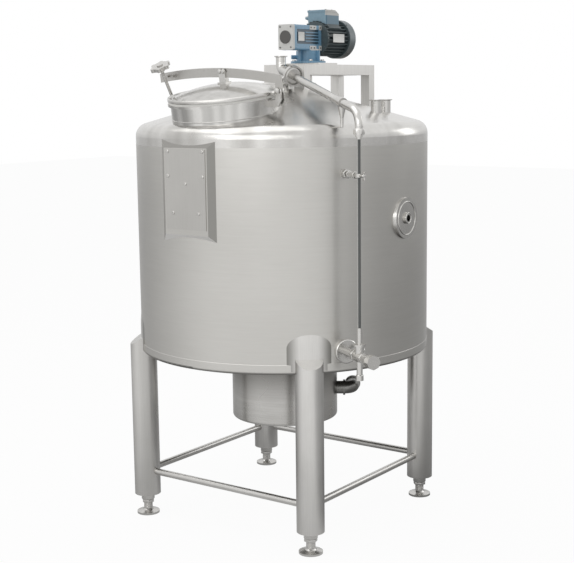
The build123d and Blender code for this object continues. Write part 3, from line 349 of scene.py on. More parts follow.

# painted light and shade on faces that look a given way: direction, where the change starts and ends, and
# tone; a fourth entry gives the heights that the tone grows between
boxLidDepth = 0.021
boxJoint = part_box("terminal_box")[1].z - boxLidDepth
boxLine = (boxJoint - 0.0002, boxJoint + 0.0002)
drumClear = 0.09  # painted shadow of the tank: the drum darkens from here up to the tank
drumShade = (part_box("sump_drum")[0].z + drumClear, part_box("sump_drum")[1].z)
everyHeight = (-2, -1)  # all heights lie above it
everyTurn = (-3, -2)  # faces of every direction lie above it
glassFlank = Vector((0.81, 0.586, 0))  # points to one side of the tube, as seen from its front; painted highlights lie along both flanks
paintedLightByFacing = {
    # panel pad: painted shade on the top and right bevels, painted reflection of the floor on the bottom
    # bevel
    "padSteel": (((0, 0, 1), (0.3, 0.6), (0.19, 0.185, 0.175)),
                 ((1, 0, 0), (0.25, 0.55), (0.27, 0.265, 0.25)),
                 ((0, 0, -1), (0.3, 0.6), (0.85, 0.84, 0.82))),
    # painted shade on the wall's down-facing lower edge
    "shellSteel": (((0, 0, -1), (0.08, 0.65), (0.2, 0.195, 0.185)),),
    # painted shade on the undersides of the fittings
    "fittingSteel": (((0, 0, -1), (0.2, 0.85), (0.2, 0.195, 0.185)),),
    # terminal box: painted shade on its right side, painted light on the lid's right faces above the joint
    # and on its top
    "boxPaint": (((1, 0, 0), (0.5, 0.8), (0.085, 0.18, 0.25)),
                 ((1, 0, 0), (0.3, 0.5), (0.50, 0.50, 0.48), boxLine),
                 ((0, 0, 1), (0.25, 0.5), (0.55, 0.54, 0.52))),
    # painted shade on the cowl's underside
    "cowlPaint": (((0, 0, -1), (0.0, 0.7), (0.05, 0.055, 0.055)),),
    # painted shadow of the tank: the drum darker towards its top; the tank's floor above it takes the full
    # tone
    "drumSteel": (((0, 0, 1), everyTurn, (0.16, 0.155, 0.145), drumShade),),
    # painted highlights along both flanks of the gauge glass
    "tubeGlass": ((glassFlank, (0.6, 0.75), (0.5, 0.5, 0.48)), (-glassFlank, (0.6, 0.75), (0.5, 0.5, 0.48))),
}


# paints the light and shade of the table onto a finish
def paintLightByFacing(tree, tones):
    normal = addNode(tree, "ShaderNodeNewGeometry", (-1500, 1000)).outputs["Normal"]
    place = objectPlace(tree, (-1500, 1300))
    for row, (direction, turn, tone, *heights) in enumerate(tones):
        low, high = heights[0] if heights else everyHeight
        inputs = {"Normal": normal, "Direction": direction, "Turn Start": turn[0], "Turn End": turn[1],
                  "Place": place, "Low": low, "High": high}
        share = addNode(tree, "ShaderNodeGroup", (-1100, 1000 - 250 * row), inputs, node_tree=facingGroup)
        toneColour(tree, share.outputs["Share"], tone, (200 * row, 900))


# painted shade on the flanks of the swelling behind each leg and on the legs' sides; the legs stand on the
# two diagonals
legFlankShade = {"reach": (0.030, 0.084), "tone": (0.24, 0.235, 0.22)}


def shadeLegPads(tree, look):
    offset = vectorNode(tree, (-1500, 700), "SUBTRACT", objectPlace(tree, (-1700, 700)), tankAxis)
    sides = []
    for row, side in enumerate((1, -1)):
        diagonal = (math.sqrt(0.5), side * math.sqrt(0.5), 0)
        along = vectorNode(tree, (-1300, 700 - 200 * row), "DOT_PRODUCT", offset, diagonal)
        sides.append(mathNode(tree, (-1100, 700 - 200 * row), "ABSOLUTE", along))
    nearest = mathNode(tree, (-900, 600), "MINIMUM", *sides)
    share = mapRange(tree, (-700, 600), nearest, look["reach"], kind="SMOOTHSTEP")
    toneColour(tree, share, look["tone"], (0, 600))


for name, tones in paintedLightByFacing.items():
    paintLightByFacing(finishes[name].node_tree, tones)
shadeLegPads(finishes["legSteel"].node_tree, legFlankShade)

# the drive is measured from its axis and from the face of the gearbox behind its end cover
coverProud = 0.003
driveAxis = middleOf("fan_cowl")
driveFront = Vector((driveAxis.x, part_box("gearbox")[0].y + coverProud, driveAxis.z))

# bare pads, dark end cover and shaded side recess of the gearbox, told apart by place and facing
castParts = {"padOut": 0.0327, "padBottom": -0.049, "flangeDepth": 0.0142, "coverRadius": 0.0255,
             "coverEdge": -0.0004, "recessOut": 0.0275, "recessHalf": 0.031, "recessTurn": 0.9,
             "pale": (0.60, 0.60, 0.58), "dark": (0.075, 0.073, 0.068), "shade": (0.035, 0.075, 0.11)}


def addBarePads(tree, look):
    offset = vectorNode(tree, (-1500, 700), "SUBTRACT", objectPlace(tree, (-1700, 700)), driveFront)
    parts = splitVector(tree, (-1300, 700), offset)
    width = mathNode(tree, (-1100, 800), "ABSOLUTE", parts["X"])
    side = mathNode(tree, (-900, 800), "GREATER_THAN", width, look["padOut"])
    front = mathNode(tree, (-900, 600), "LESS_THAN", parts["Y"], look["flangeDepth"])
    above = mathNode(tree, (-900, 400), "GREATER_THAN", parts["Z"], look["padBottom"])
    bare = mathNode(tree, (-500, 700), "MULTIPLY", mathNode(tree, (-700, 700), "MAXIMUM", side, front), above)
    flat = vectorNode(tree, (-1100, 200), "MULTIPLY", offset, (1, 0, 1))
    radius = vectorNode(tree, (-900, 200), "LENGTH", flat)
    inside = mathNode(tree, (-700, 200), "LESS_THAN", radius, look["coverRadius"])
    proud = mathNode(tree, (-700, 0), "LESS_THAN", parts["Y"], look["coverEdge"])
    cover = mathNode(tree, (-500, 200), "MULTIPLY", inside, proud)
    facing = addNode(tree, "ShaderNodeNewGeometry", (-1500, -200)).outputs["Normal"]
    turned = mathNode(tree, (-1100, -200), "ABSOLUTE", splitVector(tree, (-1300, -200), facing)["X"])
    sideways = mathNode(tree, (-900, -200), "GREATER_THAN", turned, look["recessTurn"])
    behind = mathNode(tree, (-900, -400), "LESS_THAN", width, look["recessOut"])
    height = mathNode(tree, (-1100, -600), "ABSOLUTE", parts["Z"])
    level = mathNode(tree, (-900, -600), "LESS_THAN", height, look["recessHalf"])
    sunk = mathNode(tree, (-700, -300), "MULTIPLY", behind, sideways)
    sunk = mathNode(tree, (-500, -400), "MULTIPLY", sunk, level)
    for step, (tone, mask) in enumerate((("pale", bare), ("dark", cover), ("shade", sunk))):
        toneColour(tree, mask, look[tone], (200 * step, 600))


addBarePads(finishes["castPaint"].node_tree, castParts)

nodeFinish = {
    "tank_wall": "shellSteel", "tank_floor": "drumSteel", "tank_roof": "roofSteel", "panel_pad": "padSteel",
    "panel_plate": "plateSteel", "sump_drum": "drumSteel", "drain_outlet": "shadedOutletSteel",
    "manway_gasket": "sealRubber", "manway_neck": "neckSteel", "manway_lid": "lidSteel",
    "lid_arm": "plateSteel", "gearbox": "castPaint", "motor_frame": "finPaint", "fan_cowl": "cowlPaint",
    "terminal_box": "boxPaint", "gauge_glass": "tubeGlass",
}
startFinish = {"leg_": "legSteel", "brace_": "tubeSteel", "bridge_": "bridgeSteel"}


def finishFor(node):
    for start, finish in startFinish.items():
        if node.startswith(start):
            return finish
    return nodeFinish.get(node, "fittingSteel")


for name, piece in nodes.items():
    piece.data.materials.clear()
    piece.data.materials.append(finishes[finishFor(name)])
print("finishes given to the frame")


# modelling helpers, with the shares of the radius or height that shape the small fasteners
bevelAngle = 30
smoothAngle = 35
facingLimit = 0.9
ringShape = {"sections": 10, "tall": 1.6}
screwShape = {"sides": 20, "inset": 0.3, "crown": 0.3, "socket": 0.7, "edge": 0.06}
boltShape = {"crown": 0.15, "narrow": 0.86, "edge": 0.05}
washerShape = {"sides": 24, "radius": 1.25, "height": 0.22, "inset": 0.1, "crown": 0.05, "edge": 0.04}
wingShape = {"sides": 24, "inset": 0.25, "crown": 0.2, "edge": 0.08, "earBase": 0.25, "earFrom": 0.6,
             "earTall": 1.25, "earEdge": 0.3}
nutShape = {"crown": 0.12, "narrow": 0.88, "edge": 0.04}


def clearSelection():
    bpy.ops.object.select_all(action="DESELECT")


def selectOnly(piece):
    clearSelection()
    piece.select_set(True)
    bpy.context.view_layer.objects.active = piece


def applyPlace():
    bpy.ops.object.transform_apply(location=True, rotation=True, scale=True)


def addRound(name, radius, depth, sides):
    # a round bar along Z that stands on the origin
    clearSelection()
    middle = (0, 0, depth / 2)
    bpy.ops.mesh.primitive_cylinder_add(vertices=sides, radius=radius, depth=depth, location=middle)
    bpy.context.object.name = name
    applyPlace()
    return bpy.context.object


def addBlock(name, size, base=0.0):
    # a block whose underside lies at the given height
    clearSelection()
    bpy.ops.mesh.primitive_cube_add(size=1, location=(0, 0, base + size[2] / 2))
    bpy.context.object.name = name
    bpy.context.object.scale = size
    applyPlace()
    return bpy.context.object


def addRing(name, radius, thickness, around):
    # a round bead that lies flat about the origin, a little taller than wide
    clearSelection()
    bpy.ops.mesh.primitive_torus_add(major_segments=around, minor_segments=ringShape["sections"],
                                     major_radius=radius, minor_radius=thickness)
    bpy.context.object.name = name
    bpy.ops.object.mode_set(mode="EDIT")
    bpy.ops.mesh.select_all(action="SELECT")
    bpy.ops.transform.resize(value=(1, 1, ringShape["tall"]))
    bpy.ops.object.mode_set(mode="OBJECT")
    bpy.ops.object.shade_smooth()
    return bpy.context.object


def chooseFaces(piece, direction=(0, 0, 1)):
    # selects the faces that look along the direction, in edit mode
    selectOnly(piece)
    bpy.ops.object.mode_set(mode="EDIT")
    bpy.ops.mesh.select_mode(type="FACE")
    bpy.ops.mesh.select_all(action="DESELECT")
    mesh = bmesh.from_edit_mesh(piece.data)
    for face in mesh.faces:
        if face.normal.dot(Vector(direction)) > facingLimit:
            face.select_set(True)
    bmesh.update_edit_mesh(piece.data)


def insetAndLift(inset, lift):
    bpy.ops.mesh.inset(thickness=inset)
    bpy.ops.transform.translate(value=(0, 0, lift))


def pushFaces(lift):
    bpy.ops.mesh.extrude_region_move(TRANSFORM_OT_translate={"value": (0, 0, lift)})


def narrowFaces(shareX, shareY):
    bpy.ops.transform.resize(value=(shareX, shareY, 1))


def leaveEditing():
    if bpy.context.mode != "OBJECT":
        bpy.ops.object.mode_set(mode="OBJECT")


def finishEdges(piece, width):
    leaveEditing()
    selectOnly(piece)
    bevel = piece.modifiers.new("softEdges", "BEVEL")
    bevel.width = width
    bevel.segments = 2
    bevel.limit_method = "ANGLE"
    bevel.angle_limit = math.radians(bevelAngle)
    bpy.ops.object.modifier_apply(modifier=bevel.name)
    bpy.ops.object.shade_smooth_by_angle(angle=math.radians(smoothAngle))


def settle(piece, matrix):
    # the place ends up in the mesh
    piece.matrix_world = matrix
    selectOnly(piece)
    applyPlace()
    return piece


def setDown(piece, place, direction=(0, 0, 1), spin=0.0):
    # local Z goes along the direction
    aim = Vector(direction).normalized().to_track_quat("Z", "Y")
    turn = aim.to_matrix().to_4x4() @ Matrix.Rotation(math.radians(spin), 4, "Z")
    return settle(piece, Matrix.Translation(Vector(place)) @ turn)


def copyTo(model, place, direction=(0, 0, 1), spin=0.0):
    twin = model.copy()
    twin.data = model.data.copy()
    bpy.context.scene.collection.objects.link(twin)
    return setDown(twin, place, direction, spin)


def joinAs(name, parts):
    leaveEditing()
    clearSelection()
    for part in parts:
        part.select_set(True)
    bpy.context.view_layer.objects.active = parts[0]
    if len(parts) > 1:
        bpy.ops.object.join()
    whole = bpy.context.object
    whole.name = name
    return whole


def dress(piece, finish="fittingSteel", body="tank", slotName="polished_steel"):
    piece.data.materials.clear()
    piece.data.materials.append(finishes[finish])
    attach(piece, body)


def scatter(name, model, places, **dressing):
    # places are (point, direction) or (point, direction, spin)
    dress(joinAs(name, [copyTo(model, *place) for place in places]), **dressing)
    bpy.data.objects.remove(model)


def socketScrew(look):
    # low round head with a crown and a drive hole
    radius, height, shape = look["radius"], look["height"], screwShape
    head = addRound("socketScrew", radius, height, shape["sides"])
    chooseFaces(head)
    insetAndLift(radius * shape["inset"], height * shape["crown"])
    bpy.ops.mesh.inset(thickness=radius * shape["inset"])
    pushFaces(-height * shape["socket"])
    finishEdges(head, radius * shape["edge"])
    return head


def washerUnder(radius, height):
    shape = washerShape
    washer = addRound("washer", radius * shape["radius"], height * shape["height"], shape["sides"])
    chooseFaces(washer)
    insetAndLift(radius * shape["inset"], height * shape["crown"])
    finishEdges(washer, radius * shape["edge"])
    return washer


def hexBolt(look):
    # six-sided head on a round washer, with its corners chamfered on top
    radius, height, shape = look["radius"], look["height"], boltShape
    head = addRound("hexBolt", radius, height, 6)
    chooseFaces(head)
    pushFaces(height * shape["crown"])
    narrowFaces(shape["narrow"], shape["narrow"])
    finishEdges(head, radius * shape["edge"])
    return joinAs("hexBolt", [head, washerUnder(radius, height)])


def wingNut(look):
    # a hub with two ears that lean outwards and up
    radius, height, shape = look["hub"], look["height"], wingShape
    hub = addRound("wingNut", radius, height, shape["sides"])
    chooseFaces(hub)
    insetAndLift(radius * shape["inset"], height * shape["crown"])
    finishEdges(hub, radius * shape["edge"])
    parts = [hub]
    for side in (-1, 1):
        ear = addBlock("ear", (look["reach"], look["thickness"], height), height * shape["earBase"])
        ear.location.x = side * (radius * shape["earFrom"] + look["reach"] / 2)
        applyPlace()
        chooseFaces(ear, (side, 0, 0))
        bpy.ops.transform.translate(value=(0, 0, look["lift"]))
        bpy.ops.transform.resize(value=(1, 1, shape["earTall"]))
        finishEdges(ear, look["thickness"] * shape["earEdge"])
        parts.append(ear)
    return joinAs("wingNut", parts)


def sixSided(name, radius, height, hole):
    # a nut with chamfered corners top and bottom
    shape = nutShape
    nut = addRound(name, radius, height, 6)
    for up in (1, -1):
        chooseFaces(nut, (0, 0, up))
        pushFaces(up * height * shape["crown"])
        narrowFaces(shape["narrow"], shape["narrow"])
        leaveEditing()
    chooseFaces(nut)
    bpy.ops.mesh.inset(thickness=radius * shape["narrow"] - hole)
    finishEdges(nut, radius * shape["edge"])
    return nut


def corners(x, z):
    return [(sideX * x, sideZ * z) for sideX in (-1, 1) for sideZ in (-1, 1)]


# control panel: two screws at the top corners and five below, as (across, up) from the plate's lower middle
panelScrew = {"radius": 0.006, "height": 0.0022, "sink": 0.0002,
              "places": ((-0.079, 0.276), (0.079, 0.276), (-0.0795, 0.189), (0.0795, 0.189), (0, 0.162),
                         (-0.058, 0.059), (0.058, 0.059))}


def makePanelScrews(look):
    low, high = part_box("panel_plate")
    foot = Vector(((low.x + high.x) / 2, low.y + look["sink"], low.z))
    places = [(foot + Vector((x, 0, z)), (0, -1, 0)) for x, z in look["places"]]
    scatter("panelScrews", socketScrew(look), places, slotName="panel_sheet")


makePanelScrews(panelScrew)

# the neck's weld, ground nearly flat, and the drum's upright seam
beads = {"weld": 0.0012, "weldRadius": 0.203, "weldHeight": -0.0667, "around": 120,
         "seamWidth": 0.0035, "seamDepth": 0.0024, "seamInset": 0.001, "seamEdge": 0.0006,
         "seamShort": 0.075, "seamFoot": 0.012, "seamTurn": -38.5}


def makeWelds(look):
    weld = addRing("neckWeld", look["weldRadius"], look["weld"], look["around"])
    dress(setDown(weld, onManway(0, 0, look["weldHeight"]), neckZ))
    low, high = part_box("sump_drum")
    seam = addBlock("drumSeam", (look["seamWidth"], look["seamDepth"], high.z - low.z - look["seamShort"]))
    chooseFaces(seam, (0, -1, 0))
    bpy.ops.mesh.inset(thickness=look["seamInset"])
    finishEdges(seam, look["seamEdge"])
    foot = fromAxis((high.x - low.x) / 2, look["seamTurn"], low.z + look["seamFoot"])
    setDown(seam, foot, straightUp, look["seamTurn"] + 90)
    dress(seam, finish="seamShade", slotName="satin_legs")


makeWelds(beads)
print("panel and welds done")

# gearmotor: places are measured from driveFront, across, along and up
gearmotor = {
    "coverScrew": {"radius": 0.0032, "height": 0.0016}, "sink": 0.0002, "screwUp": 0.039,
    "frontScrewOut": 0.025, "sideScrewOut": 0.0338, "sideScrews": (0.124, 0.146, 0.188),
    "flangeBolt": {"radius": 0.0075, "height": 0.006}, "flangeRing": 0.057, "flangeTop": 0.008,
    "flangeTurns": ((45, 12), (135, 42), (225, 72), (315, 102)),
    "gearPlate": {"size": (0.041, 0.034, 0.0012), "centre": (0.0308, 0.0615, 0.003)},
    "motorPlate": {"size": (0.079, 0.033, 0.0014), "centre": (0.0686, 0.2665, 0.0)},
    "plateBorder": 0.0016, "plateSink": -0.0004, "plateEdge": 0.0003,
}


def makeLabelPlates(look):
    # bare pressed plates with a thin raised border
    for name in ("gearPlate", "motorPlate"):
        plate = addBlock(name, look[name]["size"])
        chooseFaces(plate)
        insetAndLift(look["plateBorder"], look["plateSink"])
        finishEdges(plate, look["plateEdge"])
        setDown(plate, driveFront + Vector(look[name]["centre"]), (1, 0, 0))
        dress(plate, finish="palePlate", slotName="motor_paint")


def makeHousingScrews(look):
    places = [(driveFront + Vector((x, -look["sink"], z)), (0, -1, 0))
              for x, z in corners(look["frontScrewOut"], look["screwUp"])]
    for x, z in corners(look["sideScrewOut"], look["screwUp"]):
        for along in look["sideScrews"]:
            places.append((driveFront + Vector((x, along, z)), (math.copysign(1, x), 0, 0)))
    screw = socketScrew(look["coverScrew"])
    scatter("housingScrews", screw, places, finish="darkSteel", slotName="blue_paint")


def makeFlangeBolts(look):
    shaft = Vector((driveAxis.x, middleOf("shaft_seal").y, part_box("bridge_plate")[1].z + look["flangeTop"]))
    places = []
    for degrees, spin in look["flangeTurns"]:
        turn = math.radians(degrees)
        point = Vector((math.cos(turn), math.sin(turn), 0)) * look["flangeRing"]
        places.append((shaft + point, straightUp, spin))
    scatter("flangeBolts", hexBolt(look["flangeBolt"]), places)


makeLabelPlates(gearmotor)
makeHousingScrews(gearmotor)
makeFlangeBolts(gearmotor)

# fan cowl: rings and bars over its air holes, and screws round its rim
cowl = {"rings": (0.022, 0.034, 0.046), "ringThick": 0.0011, "ringOut": 0.0002, "around": 48,
        "bar": (0.098, 0.0022, 0.0016), "barBase": -0.0004, "barInset": 0.0004, "barLift": 0.0003,
        "barEdge": 0.0002, "barTurns": (0, 45, 90, 135), "screw": {"radius": 0.0032, "height": 0.0016},
        "screwFrom": 0.005, "screwSink": 0.0003, "screwTurns": (45, 135, 225, 315)}


def makeCowlGrille(look):
    back = Vector((driveAxis.x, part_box("fan_cowl")[1].y, driveAxis.z))
    parts = []
    for radius in look["rings"]:
        ring = addRing("grilleRing", radius, look["ringThick"], look["around"])
        parts.append(setDown(ring, back + Vector((0, look["ringOut"], 0)), (0, 1, 0)))
    bar = addBlock("grilleBar", look["bar"], look["barBase"])
    chooseFaces(bar)
    insetAndLift(look["barInset"], look["barLift"])
    finishEdges(bar, look["barEdge"])
    for turn in look["barTurns"]:
        parts.append(copyTo(bar, back, (0, 1, 0), turn))
    bpy.data.objects.remove(bar)
    dress(joinAs("cowlGrille", parts), finish="darkCap", slotName="motor_paint")


def makeCowlScrews(look):
    low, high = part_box("fan_cowl")
    rim = Vector((driveAxis.x, low.y + look["screwFrom"], driveAxis.z))
    places = []
    for degrees in look["screwTurns"]:
        turn = math.radians(degrees)
        outward = Vector((math.cos(turn), 0, math.sin(turn)))
        places.append((rim + outward * ((high.x - low.x) / 2 - look["screwSink"]), outward))
    scatter("cowlScrews", socketScrew(look["screw"]), places, finish="darkSteel", slotName="motor_paint")


# terminal box: a screw at each corner of its lid
boxLid = {"screw": {"radius": 0.0032, "height": 0.0016}, "out": 0.038, "along": (0.009, 0.052),
          "sink": 0.0002}


def makeBoxScrews(look):
    low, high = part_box("terminal_box")
    places = [(Vector((driveAxis.x + side * look["out"], low.y + along, high.z - look["sink"])), straightUp)
              for side in (-1, 1) for along in look["along"]]
    scatter("boxScrews", socketScrew(look["screw"]), places, finish="darkSteel", slotName="blue_paint")


makeCowlGrille(cowl)
makeCowlScrews(cowl)
makeBoxScrews(boxLid)
print("gearmotor dressed")

# manway: lid bead, hinge pin heads, bracket bolts, and the pin heads and thread of the swing bolt
manway = {
    "bead": 0.0035, "beadRadius": 0.20815, "beadHeight": 0.0064, "beadAround": 140,
    "pinHead": {"radius": 0.009, "height": 0.004}, "pinOut": 0.0167,
    "bracketBolt": {"radius": 0.007, "height": 0.005}, "bracketOut": 0.008, "bracketFace": (-0.0100, 0.086),
    "bracketSpin": 20,
    "boltPinHead": {"radius": 0.0065, "height": 0.003}, "boltPinOut": 0.0168,
    "boltEye": (-0.242, -0.014, -0.010), "lean": 21.0,
    "thread": {"from": 0.088, "pitch": 0.0022, "count": 11, "radius": 0.006, "thick": 0.0007, "around": 24},
}


def makeManwayBits(look):
    bead = addRing("lidBead", look["beadRadius"], look["bead"], look["beadAround"])
    dress(setDown(bead, onManway(0, 0, look["beadHeight"]), neckZ), body="lid")
    x, h = hingeOffset["x"], hingeOffset["h"]
    places = [(onManway(x, side * look["pinOut"], h), neckY * side) for side in (-1, 1)]
    scatter("hingePinHeads", hexBolt(look["pinHead"]), places)
    y, h = look["bracketFace"]
    places = [(onManway(side * look["bracketOut"], y, h), -neckY, look["bracketSpin"]) for side in (-1, 1)]
    scatter("bracketBolts", hexBolt(look["bracketBolt"]), places, body="lid")


def makeSwingBoltBits(look):
    # the bolt's eye carries a pin with a head at each end, and thread rings lie below the star knob
    eye = onManway(*look["boltEye"])
    places = [(eye + neckX * side * look["boltPinOut"], neckX * side) for side in (-1, 1)]
    scatter("boltPinHeads", hexBolt(look["boltPinHead"]), places)
    lean = math.radians(look["lean"])
    along = (neckZ * math.cos(lean) - neckY * math.sin(lean)).normalized()
    thread = look["thread"]
    ring = addRing("threadRing", thread["radius"], thread["thick"], thread["around"])
    places = [(eye + along * (thread["from"] + step * thread["pitch"]), along)
              for step in range(thread["count"])]
    scatter("boltThread", ring, places, body="swing_bolt")


makeManwayBits(manway)
makeSwingBoltBits(manway)
print("manway dressed")

# the gauge line runs out from the tank's axis through the gauge glass, and its pipe falls outwards
glassAt = middleOf("gauge_glass") * flatPart
lineOut = (glassAt - tankAxis).normalized()
pipeFall = math.radians(13)

# clamp joint of the vent: two lugs on the band, a bolt through them and a wing nut on its end
ventClamp = {"lug": (0.014, 0.017, 0.016), "lugTop": (0.7, 0.85), "lugEdge": 0.0015, "lugOut": 0.0355,
             "lugAside": 0.010, "sideShare": 0.75, "upShare": -0.35,
             "bolt": 0.0035, "boltLength": 0.042, "boltSides": 16, "boltInset": 0.00105, "boltCrown": 0.001,
             "boltEdge": 0.0004, "boltOut": 0.0473, "boltFrom": -0.022, "wingFrom": 0.0165, "wingSpin": 35,
             "wing": {"hub": 0.0065, "height": 0.009, "reach": 0.014, "thickness": 0.0035, "lift": 0.005}}


def makeClampWing(look):
    along = (lineOut * math.cos(pipeFall) - straightUp * math.sin(pipeFall)).normalized()
    upward = (straightUp - along * along.z).normalized()
    aside = along.cross(upward).normalized()
    outward = (aside * look["sideShare"] + upward * look["upShare"]).normalized()
    across = along.cross(outward).normalized()
    centre = middleOf("vent_clamp")
    turn = Matrix((across, along, outward)).transposed().to_4x4()
    parts = []
    for side in (-1, 1):
        lug = addBlock("lug", look["lug"])
        chooseFaces(lug)
        narrowFaces(*look["lugTop"])
        finishEdges(lug, look["lugEdge"])
        foot = centre + outward * look["lugOut"] + across * side * look["lugAside"]
        parts.append(settle(lug, Matrix.Translation(foot) @ turn))
    rod = addRound("clampBolt", look["bolt"], look["boltLength"], look["boltSides"])
    chooseFaces(rod)
    insetAndLift(look["boltInset"], look["boltCrown"])
    finishEdges(rod, look["boltEdge"])
    middle = centre + outward * look["boltOut"]
    parts.append(setDown(rod, middle + across * look["boltFrom"], across))
    wing = wingNut(look["wing"])
    parts.append(setDown(wing, middle + across * look["wingFrom"], across, look["wingSpin"]))
    dress(joinAs("ventClampWing", parts))


makeClampWing(ventClamp)

# level gauge: nuts as (along the line, radius, height, hole, spin), the clip's wing screw, the valve's lever
gauge = {
    "unionRise": 0.0175, "unionNut": ((0, 0.0195, 0.015, 0.015, 0),),
    "clipNuts": ((-0.104, 0.0165, 0.013, 0.0076, 15), (-0.082, 0.0125, 0.009, 0.0076, 15),
                 (-0.036, 0.0135, 0.010, 0.0076, 15)),
    "valveNuts": ((-0.044, 0.021, 0.013, 0.0155, 10), (0.0175, 0.017, 0.009, 0.0085, 20)),
    "clipWing": {"hub": 0.006, "height": 0.008, "reach": 0.011, "thickness": 0.003, "lift": 0.003},
    "clipWingOut": 0.0285, "clipWingSpin": 90,
    "lever": {"hub": 0.0085, "height": 0.012, "reach": 0.026, "thickness": 0.006, "lift": 0.010},
    "leverBack": -0.037, "leverOut": 0.0195, "leverSpin": 60,
    "leverAim": {"level": -0.8, "out": -0.1, "up": -0.25},
}


def nutsAlong(name, rows, start, direction):
    nuts = []
    for along, radius, height, hole, spin in rows:
        nut = sixSided(name, radius, height, hole)
        nuts.append(setDown(nut, start + direction * along, direction, spin))
    dress(joinAs(name, nuts))


def makeGaugeBits(look):
    union = straightUp * (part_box("gauge_pipe")[0].z + look["unionRise"])
    nutsAlong("unionNut", look["unionNut"], glassAt + union, straightUp)
    clip = glassAt + straightUp * middleOf("gauge_clip").z
    wing = wingNut(look["clipWing"])
    dress(setDown(wing, clip + lineOut * look["clipWingOut"], lineOut, look["clipWingSpin"]))
    nutsAlong("clipNuts", look["clipNuts"], clip, lineOut)
    valve = glassAt + straightUp * middleOf("valve_knob").z
    nutsAlong("valveNuts", look["valveNuts"], valve, lineOut)
    across = lineOut.cross(straightUp).normalized()
    shares = look["leverAim"]
    aim = (across * shares["level"] + lineOut * shares["out"] + straightUp * shares["up"]).normalized()
    lever = wingNut(look["lever"])
    place = valve + lineOut * look["leverBack"] + aim * look["leverOut"]
    dress(setDown(lever, place, aim, look["leverSpin"]))


makeGaugeBits(gauge)
print("gauge dressed")

# levelling feet: lock nut and thread on each stem
feet = {"circle": 0.555, "angles": (-135, -45, 45, 135), "nut": (0.02484, 0.010, 0.017), "nutHeight": 0.0445,
        "thread": {"from": 0.022, "pitch": 0.0032, "count": 7, "radius": 0.0165, "thick": 0.0007,
                   "around": 32}}


def makeFootBits(look):
    thread = look["thread"]
    ring = addRing("footThread", thread["radius"], thread["thick"], thread["around"])
    nuts, rings = [], []
    for angle in look["angles"]:
        nuts.append((fromAxis(look["circle"], angle, look["nutHeight"]), straightUp, angle))
        for step in range(thread["count"]):
            height = thread["from"] + step * thread["pitch"]
            rings.append((fromAxis(look["circle"], angle, height), straightUp))
    scatter("footNuts", sixSided("footNut", *look["nut"]), nuts, finish="tubeSteel", slotName="satin_legs")
    scatter("footThreads", ring, rings, finish="tubeSteel", slotName="satin_legs")


makeFootBits(feet)

# probe pocket: beads on its outer ring and round its socket, as (radius, bead, back from the face)
pocket = {"rings": ((0.060, 0.0018, 0.007), (0.0185, 0.002, 0.001)), "around": 96}


def makePocketBits(look):
    face = middleOf("probe_pocket")
    face.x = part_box("probe_pocket")[1].x
    parts = []
    for radius, bead, back in look["rings"]:
        ring = addRing("pocketRing", radius, bead, look["around"])
        parts.append(setDown(ring, face - Vector((back, 0, 0)), (1, 0, 0)))
    dress(joinAs("pocketRings", parts), slotName="brushed_shell")


makePocketBits(pocket)
print("feet and pocket dressed")

# studio: what the steel sees turns darker beside and behind the tank
# each stop is (share of a turn from -X, counted against the clock from above, grey)
studio = {
    "floorSize": 40, "floorDrop": -0.0005, "floorGrey": 0.86, "whiteShare": 0.95, "ambient": 0.55,
    "backdrop": 1.0,
    "screenRadius": 6.0, "screenHeight": 3.6, "lift": (0.5, 2.4), "liftShare": 0.75,
    "nearFloor": (0.6, 2.6), "nearShadeGrey": 0.60,
    "stops": ((0.00, 0.50), (0.10, 0.74), (0.19, 1.0), (0.42, 1.0), (0.48, 0.54), (0.57, 0.40), (0.65, 0.37),
              (0.74, 0.38), (0.83, 0.70), (0.90, 0.62), (0.96, 0.48)),
}
white = (1, 1, 1, 1)


def makeShadeGroup(look):
    group, given, sink = startGroup("screenShade", {"Place": "Vector"}, {"Grey": "Color"})
    place = {"Vector": given["Place"]}
    around = addNode(group, "ShaderNodeTexGradient", (-500, 0), place, gradient_type="RADIAL")
    ramp = addNode(group, "ShaderNodeValToRGB", (-200, 0), {"Fac": around.outputs["Color"]})
    greys = ramp.color_ramp.elements
    for position, grey in look["stops"][1:]:
        greys.new(position)
    for element, (position, grey) in zip(greys, look["stops"] + ((1.0, look["stops"][0][1]),)):
        element.position = position
        element.color = (grey, grey, grey, 1)
    feed(group, sink, {"Grey": ramp.outputs["Color"]})
    return group


shadeGroup = makeShadeGroup(studio)


def screenGrey(tree, place, where):
    return addNode(tree, "ShaderNodeGroup", place, {"Place": where}, node_tree=shadeGroup).outputs["Grey"]


def backgroundMask(tree, place):
    rays = addNode(tree, "ShaderNodeLightPath", place).outputs
    seen = mathNode(tree, (place[0] + 200, place[1]), "MAXIMUM", rays["Is Camera Ray"], rays["Is Glossy Ray"])
    return mathNode(tree, (place[0] + 380, place[1]), "MAXIMUM", seen, rays["Is Transmission Ray"])


def mixShaders(tree, share, first, second, output):
    inputs = {0: share, 1: first.outputs[0], 2: second.outputs[0]}
    mix = addNode(tree, "ShaderNodeMixShader", (300, 0), inputs)
    addNode(tree, output, (500, 0), {0: mix.outputs[0]})


def makeWorld(look):
    world = bpy.data.worlds.new("studioWorld")
    world.use_nodes = True
    tree = world.node_tree
    tree.nodes.clear()
    plain = addNode(tree, "ShaderNodeBackground", (0, 150), {"Color": white, "Strength": look["ambient"]})
    shown = addNode(tree, "ShaderNodeBackground", (0, -50), {"Color": white, "Strength": look["backdrop"]})
    mixShaders(tree, backgroundMask(tree, (-600, 0)), plain, shown, "ShaderNodeOutputWorld")
    bpy.context.scene.world = world


